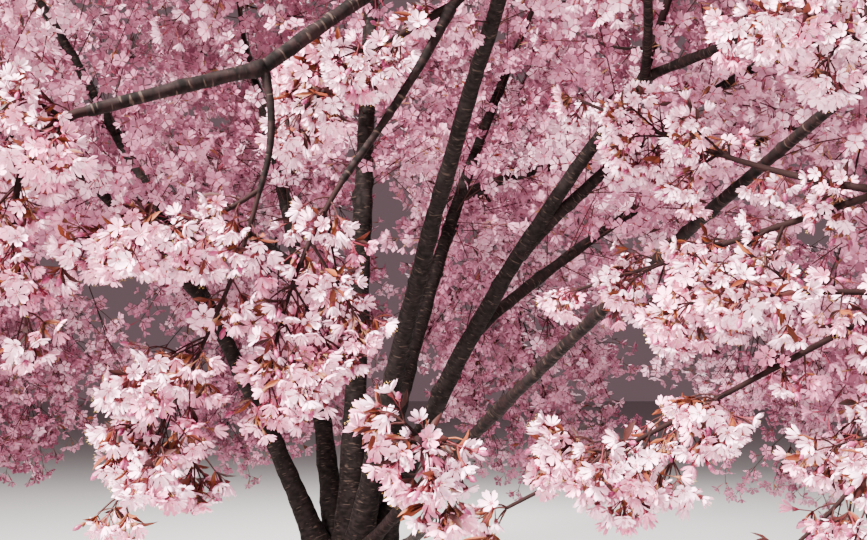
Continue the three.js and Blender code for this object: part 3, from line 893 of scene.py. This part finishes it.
def twig_maker():
    inputs = {"Lines": "NodeSocketGeometry", "Sides": "NodeSocketInt", "Bark": "NodeSocketMaterial"}
    tree, keys, given, made = new_tree("twigs_along_lines", inputs, "Twigs")
    curves = node_in(tree, "GeometryNodeMeshToCurve")
    thick = read_values(tree, "thick", "FLOAT")
    radius = node_in(tree, "GeometryNodeSetCurveRadius")
    ring = node_in(tree, "GeometryNodeCurvePrimitiveCircle")
    ring.inputs["Radius"].default_value = 1
    tube = node_in(tree, "GeometryNodeCurveToMesh")
    tube.inputs["Fill Caps"].default_value = True
    whole = node_in(tree, "GeometryNodeRealizeInstances")
    painted = node_in(tree, "GeometryNodeSetMaterial")
    link(tree, given, "Lines", curves, "Mesh")
    link(tree, curves, "Curve", radius, "Curve")
    link(tree, thick, "Attribute", radius, "Radius")
    link(tree, given, "Sides", ring, "Resolution")
    link(tree, radius, "Curve", tube, "Curve")
    link(tree, ring, "Curve", tube, "Profile Curve")
    if "Scale" in tube.inputs:
        link(tree, thick, "Attribute", tube, "Scale")
    link(tree, tube, "Mesh", whole, "Geometry")
    link(tree, whole, "Geometry", painted, "Geometry")
    link(tree, given, "Bark", painted, "Material")
    link(tree, painted, "Geometry", made, "Twigs")
    return tree, keys


def grown_from(name, mesh, maker, inputs):
    tree, keys = maker
    carrier = put(f"{name}_carrier", mesh)
    nodes = carrier.modifiers.new(tree.name, "NODES")
    nodes.node_group = tree
    for label, value in inputs.items():
        nodes[keys[label]] = value
    bpy.context.view_layer.update()
    seen = carrier.evaluated_get(bpy.context.evaluated_depsgraph_get())
    grown = bpy.data.meshes.new_from_object(seen)
    grown.name = name
    bpy.data.objects.remove(carrier)
    smooth(grown)
    return put(name, grown)


def dress_part(piece, part, slot):
    stands_for = [] if part == "bough" else [mass["name"] for mass in parts[part]]
    dress(piece, slot, *stands_for)


twigs_along_lines = twig_maker()


def twigs_from(kind, part, bends, steps, bases, ends, sides, bark):
    name = f"{kind}_{part}"
    t = np.linspace(0, 1, steps + 1)[None, :, None]
    places = bezier(bends[:, None, 0], bends[:, None, 1], bends[:, None, 2], t)
    radii = lerp(bases[:, None], ends[:, None], t[..., 0])
    starts = np.arange(len(bends))[:, None] * (steps + 1) + np.arange(steps)[None, :]
    edges = np.stack([starts, starts + 1], axis=-1).reshape(-1, 2)
    mesh = bpy.data.meshes.new(f"{name}_lines")
    mesh.from_pydata(places.reshape(-1, 3).tolist(), edges.tolist(), [])
    mark(mesh, "thick", "FLOAT", radii)
    piece = grown_from(name, mesh, twigs_along_lines, {"Sides": sides, "Bark": bark})
    dress_part(piece, part, "bark")


TWIG_BROWN = (0.0125, 0.0052, 0.0050, 1)
TWIG_RED = (0.036, 0.0118, 0.011, 1)
twig_bark = new_material("twig_bark", TWIG_BROWN, roughness=0.85, gloss=0.08)[0]
shoot_bark = new_material("shoot_bark", TWIG_RED, roughness=0.8, gloss=0.08)[0]
MASS_SEED = 9000
LIMB_SEED = 7000

parts = {"skirt": [], "shoulder": [], "upper": [], "front": [], "bough": []}
for mass in masses:
    chance = np.random.default_rng(MASS_SEED + mass["number"])
    mass["grown"] = grow(mass)
    if not mass["front"]:
        mass["grown"] += grow_side_twigs(mass, chance)
    mass["shoots"] = grow_shoots(mass, mass["grown"], chance)
    parts[mass["name"].split("_")[0]].append(mass)
for number, (name, first) in enumerate(BEARS_FROM.items()):
    shoots = shoots_on_limb(limbs[name], first, np.random.default_rng(LIMB_SEED + number))
    parts["bough"].append({"name": name, "number": None, "shoots": shoots})

for part, members in parts.items():
    front = part == "front"
    if part != "bough":
        twigs = [twig for mass in members for twig in mass["grown"]]
        bends, bases, ends = [np.array([twig[key] for twig in twigs]) for key in ("bend", "base", "end")]
        twigs_from("twigs", part, bends, TWIG_STEPS[front], bases, ends, TWIG_SIDES[front], twig_bark)
    shoots = np.concatenate([mass["shoots"] for mass in members])
    thick = np.full(len(shoots), SHOOT_RADIUS[front])
    thin = SHOOT_TAPER * thick
    twigs_from("shoots", part, shoots, SHOOT_STEPS, thick, thin, SHOOT_SIDES[front], shoot_bark)


# Umbels. The blossoms hang in loose bunches of three to five, each on its own thin red stalk from one bud on
# a shoot. The stalks spread, and droop a little under the blossom's weight.

UMBEL_GAP = (0.092, 0.046)
UMBEL_PLAY = 0.35
UMBELS_REACH_BACK = 0.8
UMBEL_TURN = 0.382
UMBEL_TURN_PLAY = 0.3
FIRST_UMBEL_LEAN = 0.15
UMBEL_LEAN = 0.9
BLOSSOMS = ((3, 4), (3, 5))
STALK = (0.056, 0.03)
STALK_PLAY = (0.7, 1.15)
STALK_LEAN = (0.35, 1.15)
STALK_DROOP = (0.25, 0.45)
FACING_PLAY = 0.35
BLOSSOM_RADIUS = (0.039, 0.0185)
BLOSSOM_PLAY = (0.84, 1.12)
BLOSSOM_ROOM = 0.6
BLOSSOM_MARGIN = 0.002
BLOSSOM_BOX_ROOM = 0.045
BUD_SHARE = (0.0, 0.12)
LEAFY_SHARE = (0.3, 0.85)
LEAVES_AT_BUD = (1, 4)
LEAF_LEAN = (0.5, 1.3)
LEAF_TINT_ENDS = (0.4, 0.8)

# The shares of the sprays up to which they take the first tint, and the second.
# The crown's sprays take the darker tints more often than the front's: painted shade of the crown.
TINT_ENDS = ((0.22, 0.64), (0.58, 0.90))

# Blossoms of the crown are drawn larger than life, and less so near the eye.
NEAR_EYE = (2.4, 4.8)
NEAR_EYE_SIZE = 0.68
CLOSE_BY = 4.0


def from_eye(places):
    return np.linalg.norm(places - np.array(EYE), axis=1)


def umbels_on(shoots, front, chance):
    runs = np.linalg.norm(shoots[:, 2] - shoots[:, 0], axis=1)
    counts = np.maximum(1, np.round(runs / UMBEL_GAP[front])).astype(int)
    owner = np.repeat(np.arange(len(shoots)), counts)
    order = np.concatenate([np.arange(count) for count in counts])
    back = (order + UMBEL_PLAY * chance.random(len(owner))) / counts[owner]
    t = (1 - back * UMBELS_REACH_BACK)[:, None]
    bends = shoots[owner]
    feet = bezier(bends[:, 0], bends[:, 1], bends[:, 2], t)
    headings = slope(bends[:, 0], bends[:, 1], bends[:, 2], t)
    turn = 2 * np.pi * ((order * UMBEL_TURN + chance.random(len(owner)) * UMBEL_TURN_PLAY) % 1)
    lean = np.where(order == 0, FIRST_UMBEL_LEAN, UMBEL_LEAN)
    axes = unit(leaning(headings, turn, lean) - up(STALK_DROOP[front]))
    tints = np.digitize(chance.random(len(shoots)), TINT_ENDS[front])[owner]
    return feet, headings, axes, tints


def blossoms_on(mass, feet, axes, tints, front, chance):
    few, many = BLOSSOMS[front]
    number = chance.integers(few, many + 1, len(feet))
    umbel = np.repeat(np.arange(len(feet)), number)
    within = np.concatenate([np.arange(count) for count in number])
    turn = 2 * np.pi * (within / number[umbel] + chance.random(len(feet))[umbel])
    turn += chance.random(len(umbel)) / 2
    lean = lerp(*STALK_LEAN, chance.random(len(umbel)))
    way = unit(leaning(axes[umbel], turn, lean) - up(STALK_DROOP[front] / 2))
    place = feet[umbel] + way * (STALK[front] * lerp(*STALK_PLAY, chance.random(len(umbel))))[:, None]
    facing = unit(way + FACING_PLAY * chance.normal(size=way.shape))
    size = BLOSSOM_RADIUS[front] * lerp(*BLOSSOM_PLAY, chance.random(len(umbel)))
    if not front:
        size = size * lerp(NEAR_EYE_SIZE, 1, smoothstep(from_eye(place), *NEAR_EYE))
    keep = has_room(mass["number"], place, BLOSSOM_ROOM * size, BLOSSOM_MARGIN, shared=True)
    keep &= in_box(place, BLOSSOM_BOX_ROOM)
    if "over" in mass["name"]:
        keep &= outside_window(place - up(size.max()))
    blossoms = {"foot": feet[umbel], "place": place, "facing": facing, "size": size, "tint": tints[umbel]}
    blossoms["bud"] = chance.random(len(umbel)) < BUD_SHARE[front]
    return {key: values[keep] for key, values in blossoms.items()}


def leaves_on(feet, headings, front, chance):
    leafy = chance.random(len(feet)) < LEAFY_SHARE[front]
    leaves = {"leaf_foot": [], "leaf_way": [], "leaf_tint": []}
    for _ in range(LEAVES_AT_BUD[front]):
        turn = 2 * np.pi * chance.random(leafy.sum())
        lean = lerp(*LEAF_LEAN, chance.random(leafy.sum()))
        leaves["leaf_foot"].append(feet[leafy])
        leaves["leaf_way"].append(leaning(headings[leafy], turn, lean))
        leaves["leaf_tint"].append(np.digitize(chance.random(leafy.sum()), LEAF_TINT_ENDS))
    return {key: np.concatenate(values) for key, values in leaves.items()}


def unfold(front, members, seed):
    chance = np.random.default_rng(seed)
    unfolded = []
    for mass in members:
        feet, headings, axes, tints = umbels_on(mass["shoots"], front, chance)
        grown = blossoms_on(mass, feet, axes, tints, front, chance)
        grown.update(leaves_on(feet, headings, front, chance))
        unfolded.append(grown)
    return {key: np.concatenate([grown[key] for grown in unfolded]) for key in unfolded[0]}


UMBEL_SEED = 500
unfolded = {}
for k, (part, members) in enumerate(parts.items()):
    unfolded[part] = unfold(part == "front", members, UMBEL_SEED + k)


# The front's blossoms have the fullest shapes, those of the crown near the eye plainer ones, and the rest
# the plainest.
def by_distance(part, grown, chosen, shapes):
    if part == "front":
        return [("", shapes[0], chosen)]
    close = from_eye(grown["place"][chosen]) < CLOSE_BY
    return [("_near", shapes[1], chosen[close]), ("", shapes[2], chosen[~close])]


TINT_SOCKETS = ("First Tint", "Second Tint", "Third Tint")


def strewer():
    inputs = {"Points": "NodeSocketGeometry", "Shape": "NodeSocketObject"}
    inputs.update({name: "NodeSocketMaterial" for name in TINT_SOCKETS})
    tree, keys, given, made = new_tree("strewn_on_points", inputs, "Strewn")
    shape = node_in(tree, "GeometryNodeObjectInfo")
    turn = read_values(tree, "turn", "FLOAT_VECTOR")
    size = read_values(tree, "size", "FLOAT_VECTOR")
    tint = read_values(tree, "tint", "INT")
    rotation = node_in(tree, "FunctionNodeEulerToRotation")
    strewn = node_in(tree, "GeometryNodeInstanceOnPoints")
    whole = node_in(tree, "GeometryNodeRealizeInstances")
    link(tree, given, "Shape", shape, "Object")
    link(tree, given, "Points", strewn, "Points")
    link(tree, shape, "Geometry", strewn, "Instance")
    link(tree, turn, "Attribute", rotation, "Euler")
    link(tree, rotation, "Rotation", strewn, "Rotation")
    link(tree, size, "Attribute", strewn, "Scale")
    link(tree, strewn, "Instances", whole, "Geometry")
    last = whole
    for number, name in enumerate(TINT_SOCKETS):
        is_tint = node_in(tree, "FunctionNodeCompare", data_type="INT", operation="EQUAL")
        link(tree, tint, "Attribute", is_tint, 2)
        is_tint.inputs[3].default_value = number
        painted = node_in(tree, "GeometryNodeSetMaterial")
        link(tree, last, "Geometry", painted, "Geometry")
        link(tree, is_tint, "Result", painted, "Selection")
        link(tree, given, name, painted, "Material")
        last = painted
    link(tree, last, "Geometry", made, "Strewn")
    return tree, keys


strewn_on_points = strewer()


def strew(name, part, shape, points, chosen, colours):
    mesh = bpy.data.meshes.new(f"{name}_points")
    mesh.from_pydata(points["place"][chosen].tolist(), [], [])
    for key, kind in (("turn", "FLOAT_VECTOR"), ("size", "FLOAT_VECTOR"), ("tint", "INT")):
        mark(mesh, key, kind, points[key][chosen])
    inputs = {"Shape": shape}
    inputs.update(zip(TINT_SOCKETS, colours))
    dress_part(grown_from(name, mesh, strewn_on_points, inputs), part, "blossom")


def turns_of(facing, beside):
    z = unit(facing)
    x = unit(beside - z * (beside * z).sum(-1, keepdims=True))
    y = np.cross(z, x)
    roll = np.arctan2(y[:, 2], z[:, 2])
    pitch = -np.arcsin(np.clip(x[:, 2], -1, 1))
    yaw = np.arctan2(x[:, 1], x[:, 0])
    return np.stack([roll, pitch, yaw], axis=-1)


def spun(facing, chance):
    return turns_of(facing, chance.normal(size=facing.shape))


def as_sizes(*columns):
    return np.stack(np.broadcast_arrays(*columns), axis=-1)


# The shapes that are strewn are kept in a list, and taken away at the end.
patterns = []


def new_pattern(name, points, faces):
    patterns.append(new_mesh_object(name, points, faces))
    return patterns[-1]


def tube_shape(name, around, stations):
    angles = np.linspace(0, 2 * np.pi, around, endpoint=False)
    points = []
    for height, radius in stations:
        points += [(radius * math.cos(angle), radius * math.sin(angle), height) for angle in angles]
    last = len(points) - around
    ends = [tuple(range(around - 1, -1, -1)), tuple(range(last, last + around))]
    return new_pattern(name, points, ring_faces(len(stations), around) + ends)


def palette(tints, roughness, gloss=0.5):
    return [new_material(name, colour, roughness, gloss)[0] for name, colour in tints.items()]


STALK_TINTS = {
    "stalk_red": (0.13, 0.020, 0.026, 1),
    "stalk_olive": (0.15, 0.055, 0.026, 1),
    "stalk_wine": (0.15, 0.011, 0.030, 1),
}
stalk_reds = palette(STALK_TINTS, roughness=0.6, gloss=0.2)
STALK_SEED = 21
STALK_WIDTH = 0.0035

near_stalk = tube_shape("near_stalk", 3, [(0, 0.0010), (0.70, 0.0011), (0.84, 0.0034), (1, 0.0050)])
stalk_points = [(0, 0, 0), (STALK_WIDTH, 0, 1), (-0.0018, 0.003, 1), (-0.0018, -0.003, 1)]
middle_stalk = new_pattern("middle_stalk", stalk_points, [(0, 2, 1), (0, 3, 2), (0, 1, 3)])
far_stalk = new_pattern("far_stalk", [(0, 0, 0), (STALK_WIDTH, 0, 1), (-STALK_WIDTH, 0, 1)], [(0, 1, 2)])

for part, grown in unfolded.items():
    way = grown["place"] - grown["foot"]
    length = np.linalg.norm(way, axis=1)
    points = {"place": grown["foot"], "size": as_sizes(1.0, 1.0, length), "tint": grown["tint"]}
    points["turn"] = spun(way, np.random.default_rng(STALK_SEED))
    every = np.arange(len(length))
    for suffix, shape, chosen in by_distance(part, grown, every, (near_stalk, middle_stalk, far_stalk)):
        strew(f"stalks_{part}{suffix}", part, shape, points, chosen, stalk_reds)


# Petals. A blossom has five pale pink petals, each cupped and notched at its tip. The crown's petals take
# darker copies of the front's colours, painted shade of the crown.
# Sprays differ a little in how pink they are.

NEAR_TINTS = {
    "petal_pale": (0.91, 0.535, 0.67, 1),
    "petal_pink": (0.85, 0.365, 0.52, 1),
    "petal_rose": (0.71, 0.225, 0.375, 1),
}
# The crown's petals are these colours darkened: painted shade of the crown.
SHADED_CROWN_TINTS = {
    "shaded_crown_petal_pale": (0.60, 0.31, 0.405, 1),
    "shaded_crown_petal_pink": (0.46, 0.185, 0.272, 1),
    "shaded_crown_petal_rose": (0.34, 0.11, 0.182, 1),
}
shaded_crown_colours = palette(SHADED_CROWN_TINTS, roughness=0.6, gloss=0.2)
near_colours = palette(NEAR_TINTS, roughness=0.6, gloss=0.25)
PETALS = 5
PETAL_OVERLAP = 0.012
MOST_TRIANGLES = 190000

# One petal as rows across it: how far out, half how wide, and how far it lies above the blossom's foot.
NEAR_PETAL = [(0.05, 0.05, 0.02), (0.40, 0.24, 0.10), (0.74, 0.35, 0.22), (0.98, 0.20, 0.34)]
EDGE_LIFT = 0.11
MIDRIB_SINK = -0.03
WIDEST = 0.35
NOTCH = 0.90

# Petals of the crown's blossoms as outlines of points, with a notch near the eye and a point farther off.
MIDDLE_PETAL = [(0.05, 0.0, 0.02), (0.60, -0.37, 0.27), (0.97, -0.16, 0.33)]
MIDDLE_PETAL += [(0.86, 0.0, 0.23), (0.97, 0.16, 0.33), (0.60, 0.37, 0.27)]
FAR_PETAL = [(0.05, 0.0, 0.02), (0.66, -0.36, 0.22), (1.0, 0.0, 0.30), (0.66, 0.36, 0.22)]


# Faces between rows of three points: the two edges and the rib of a petal or leaf.
def faces_along(rows):
    corners = [3 * row + side for row in range(rows - 1) for side in range(2)]
    return [(corner, corner + 3, corner + 4, corner + 1) for corner in corners]


def fan_of(corners):
    return [(0, k, k + 1) for k in range(1, corners - 1)]


def five_petals(name, petal, petal_faces, overlap):
    points, faces = [], []
    for number in range(PETALS):
        turn = 2 * math.pi * number / PETALS
        faces += [tuple(len(points) + corner for corner in face) for face in petal_faces]
        for x, y, z in petal:
            along = x * math.cos(turn) - y * math.sin(turn)
            aside = x * math.sin(turn) + y * math.cos(turn)
            points.append((along, aside, z + overlap * (number % 2)))
    return new_pattern(name, points, faces)


near_points = []
for row, (out, half, rise) in enumerate(NEAR_PETAL, 1):
    for side in (-1, 0, 1):
        reach = NOTCH if row == len(NEAR_PETAL) and side == 0 else out
        lift = rise + (EDGE_LIFT * half / WIDEST if side else MIDRIB_SINK)
        near_points.append((reach, side * half, lift))
near_petals = five_petals("near_petals", near_points, faces_along(len(NEAR_PETAL)), PETAL_OVERLAP)
middle_petals = five_petals("middle_petals", MIDDLE_PETAL, fan_of(len(MIDDLE_PETAL)), PETAL_OVERLAP)
far_petals = five_petals("far_petals", FAR_PETAL, fan_of(len(FAR_PETAL)), 0)


def triangles_in(shape):
    return sum(len(face.vertices) - 2 for face in shape.data.polygons)


# A cupped blossom is narrower and deeper. More of the front's are cupped.
PETAL_SEED = 31
CUPPING = (1.4, 0.9)
NARROWER = 0.34
FLAT_DEPTH = 0.7
DEEPER = 2.0

for part, grown in unfolded.items():
    chance = np.random.default_rng(PETAL_SEED)
    front = part == "front"
    points = {"place": grown["place"], "turn": spun(grown["facing"], chance), "tint": grown["tint"]}
    cupped = chance.random(len(grown["place"])) ** CUPPING[front]
    wide = grown["size"] * (1 - NARROWER * cupped)
    points["size"] = as_sizes(wide, wide, grown["size"] * (FLAT_DEPTH + DEEPER * cupped))
    grown["points"] = points
    grown["opened"] = np.flatnonzero(~grown["bud"])
    # The crown's blossoms take the darker colours, painted shade.
    colours = near_colours if front else shaded_crown_colours
    shapes = (near_petals, middle_petals, far_petals)
    for suffix, shape, wanted in by_distance(part, grown, grown["opened"], shapes):
        limit = MOST_TRIANGLES // triangles_in(shape)
        for number, first in enumerate(range(0, len(wanted), limit)):
            name = f"petals_{part}{suffix}_{number + 1}"
            strew(name, part, shape, points, wanted[first : first + limit], colours)


# Hearts of the blossoms. Each has a wine red throat. At the front it runs out into a point along each petal,
# and a ring of pale threads with yellow tips stands round it.

HEART_TINTS = {
    "heart_wine": (0.26, 0.014, 0.055, 1),
    "heart_rose": (0.38, 0.045, 0.11, 1),
    "heart_brown": (0.16, 0.018, 0.026, 1),
}
heart_colours = palette(HEART_TINTS, roughness=0.6)
thread_colours = palette({"thread_0": (0.86, 0.62, 0.66, 1)}, roughness=0.5) * 3
anther_colours = palette({"anther": (0.62, 0.38, 0.07, 1)}, roughness=0.7) * 3
HEART_POINT = (0.36, 0.135)
HEART_DENT = (0.12, 0.10)
HEART_MIDDLE = 0.085
FAR_HEART = (0.2, 0.11)
THREADS = 8
THREAD_FOOT = (0.04, 0.08)
THREAD_TIP = (0.34, 0.42)
THREAD_PLAY = (0.06, 0.05)
THREAD_TURN_PLAY = 0.2
THREAD_HALF = 0.014
ANTHER_HALF = 2.4
ANTHER_LENGTH = 0.05


def near_heart_shape():
    points, rim = [], 2 * PETALS
    for k in range(rim):
        turn = math.pi * k / PETALS
        out, rise = HEART_DENT if k % 2 else HEART_POINT
        points.append((out * math.cos(turn), out * math.sin(turn), rise))
    points.append((0, 0, HEART_MIDDLE))
    return new_pattern("near_heart", points, [(rim, k, (k + 1) % rim) for k in range(rim)])


def far_heart_shape():
    out, rise = FAR_HEART
    turns = [2 * math.pi * (k + 0.5) / 3 for k in range(3)]
    points = [(out * math.cos(turn), out * math.sin(turn), rise) for turn in turns]
    return new_pattern("far_heart", points, [(0, 1, 2)])


def thread_shape(name, tips_only):
    points, faces = [], []
    foot_out, foot_rise = THREAD_FOOT
    for k in range(THREADS):
        turn = 2 * math.pi * k / THREADS + THREAD_TURN_PLAY * (k % 2)
        way = np.array([math.cos(turn), math.sin(turn), 0])
        out = THREAD_TIP[0] + THREAD_PLAY[0] * (k % 3)
        tip = out * way + up(THREAD_TIP[1] + THREAD_PLAY[1] * (k % 2))
        side = np.array([-math.sin(turn), math.cos(turn), 0]) * THREAD_HALF
        faces.append((len(points), len(points) + 1, len(points) + 2))
        if tips_only:
            points += [tip - ANTHER_HALF * side, tip + ANTHER_HALF * side, tip + up(ANTHER_LENGTH)]
        else:
            foot = foot_out * way + up(foot_rise)
            points += [foot - side, foot + side, tip]
    return new_pattern(name, points, faces)


near_heart, far_heart = near_heart_shape(), far_heart_shape()
thread_ring, anther_ring = thread_shape("threads", False), thread_shape("anthers", True)
for part, grown in unfolded.items():
    kinds = [("hearts", near_heart if part == "front" else far_heart, heart_colours)]
    if part == "front":
        kinds += [("threads", thread_ring, thread_colours), ("anthers", anther_ring, anther_colours)]
    for kind, shape, colours in kinds:
        strew(f"{kind}_{part}", part, shape, grown["points"], grown["opened"], colours)


# Buds. Some blossoms of the front are still closed, and hang as deep rose buds on their stalks. A bud is a
# little shorter than an open blossom's petals, and fullest at its middle.

BUD_TINTS = {
    "bud_rose": (0.27, 0.028, 0.105, 1),
    "bud_wine": (0.17, 0.011, 0.058, 1),
    "bud_pink": (0.40, 0.085, 0.19, 1),
}
BUD_SEED = 51
BUD_LENGTH = 0.85

bud = tube_shape("bud", 6, [(-0.1, 0.08), (0.15, 0.2), (0.5, 0.3), (0.85, 0.2), (1.05, 0.05)])
hung = unfolded["front"]
length = BUD_LENGTH * hung["size"]
points = {"place": hung["place"], "size": as_sizes(length, length, length), "tint": hung["tint"]}
points["turn"] = spun(hung["place"] - hung["foot"], np.random.default_rng(BUD_SEED))
closed = np.flatnonzero(hung["bud"])
strew("buds_front", "front", bud, points, closed, palette(BUD_TINTS, roughness=0.45))


# Young leaves. They open bronze and copper red among the blossoms, folded along the midrib, with a fine
# point. Those of the crown are longer and of four faces each.

LEAF_TINTS = {
    "leaf_copper": (0.105, 0.0195, 0.0070, 1),
    "leaf_maroon": (0.030, 0.0062, 0.0052, 1),
    "leaf_amber": (0.155, 0.036, 0.0105, 1),
}
leaf_colours = palette(LEAF_TINTS, roughness=0.55, gloss=0.2)
LEAF_ROWS = [(0.0, 0.012), (0.25, 0.075), (0.55, 0.105), (0.8, 0.062), (1.0, 0.0)]
LEAF_BOW = -0.22
LEAF_FOLD = 0.8
LEAF_LONGEST = (0.058, 0.036)
LEAF_LENGTH = (0.5, 1.2)
LEAF_WIDTH = (0.8, 1.7)
LEAF_SEED = 41
FAR_LEAF = [(0, 0, 0), (0.55, -0.12, 0.02), (1, 0, -0.2), (0.55, 0.12, 0.02), (0.55, 0, -0.08)]

leaf_points = []
for out, half in LEAF_ROWS:
    for side in (-1, 0, 1):
        leaf_points.append((out, side * half, LEAF_BOW * out * out + abs(side) * LEAF_FOLD * half))
leaf = new_pattern("leaf", leaf_points, faces_along(len(LEAF_ROWS)))
far_leaf = new_pattern("far_leaf", FAR_LEAF, [(0, 1, 4), (1, 2, 4), (2, 3, 4), (3, 0, 4)])

for part, grown in unfolded.items():
    chance = np.random.default_rng(LEAF_SEED)
    front = part == "front"
    way = grown["leaf_way"]
    side, other = across(way)
    roll = chance.uniform(0, 2 * np.pi, len(way))[:, None]
    turns = turns_of(side * np.cos(roll) + other * np.sin(roll), way)
    length = LEAF_LONGEST[front] * lerp(*LEAF_LENGTH, chance.random(len(way)))
    sizes = as_sizes(length, length * lerp(*LEAF_WIDTH, chance.random(len(way))), length)
    points = {"place": grown["leaf_foot"], "turn": turns, "size": sizes, "tint": grown["leaf_tint"]}
    shape = leaf if front else far_leaf
    strew(f"leaves_{part}", part, shape, points, slice(None), leaf_colours)

for shape in patterns:
    bpy.data.objects.remove(shape)


# The studio: a plain pale floor, a large soft key light from the upper left in front, a fill from the right,
# a light from behind, and a camera where the photograph was taken, at eye height just outside the crown.

FLOOR_HALF = 400
FLOOR_TONE = (0.51, 0.50, 0.495, 1)
SURROUND_TONE = (0.40, 0.262, 0.300, 1)
SURROUND_STRENGTH = 0.38
CAMERA_TILT = 96
LENS = 50
SENSOR_WIDTH = 36

floor_points = [(x * FLOOR_HALF, y * FLOOR_HALF, 0) for x, y in ((-1, -1), (1, -1), (1, 1), (-1, 1))]
floor_paint = new_material("floor_pale", FLOOR_TONE, roughness=0.9)[0]
floor = new_mesh_object("floor", floor_points, [(0, 1, 2, 3)], floor_paint)

# Each light's place, the point it is turned to, its size, its power and its colour.
LIGHTS = {
    "key": ((-6.0, -8.5, 9.5), (-3.0, -4.8, 0), 2.2, 19000, (1.0, 0.97, 0.94)),
    "fill": ((8.0, -7.0, 6.0), (2.5, -2.0, 0), 5.0, 450, (0.95, 0.95, 1.0)),
    "back": ((3.0, 9.0, 9.0), (1.0, 3.5, 0), 4.0, 3300, (1.0, 0.97, 0.95)),
}
for name, (place, target, size, power, colour) in LIGHTS.items():
    light = bpy.data.lights.new(name, "AREA")
    light.shape = "DISK"
    light.size = size
    light.energy = power
    light.color = colour
    made = put(name, light)
    made.location = place
    aim = np.array(target, float) - np.array(place, float)
    made.rotation_euler = Vector(aim).to_track_quat("-Z", "Y").to_euler()

world = bpy.data.worlds.new("studio")
world.use_nodes = True
world.node_tree.nodes["Background"].inputs["Color"].default_value = SURROUND_TONE
world.node_tree.nodes["Background"].inputs["Strength"].default_value = SURROUND_STRENGTH
bpy.context.scene.world = world

camera_data = bpy.data.cameras.new("camera")
camera_data.lens = LENS
camera_data.sensor_width = SENSOR_WIDTH
camera = put("camera", camera_data)
camera.location = EYE
camera.rotation_euler = (math.radians(CAMERA_TILT), 0, 0)
bpy.context.scene.camera = camera

bpy.context.view_layer.update()
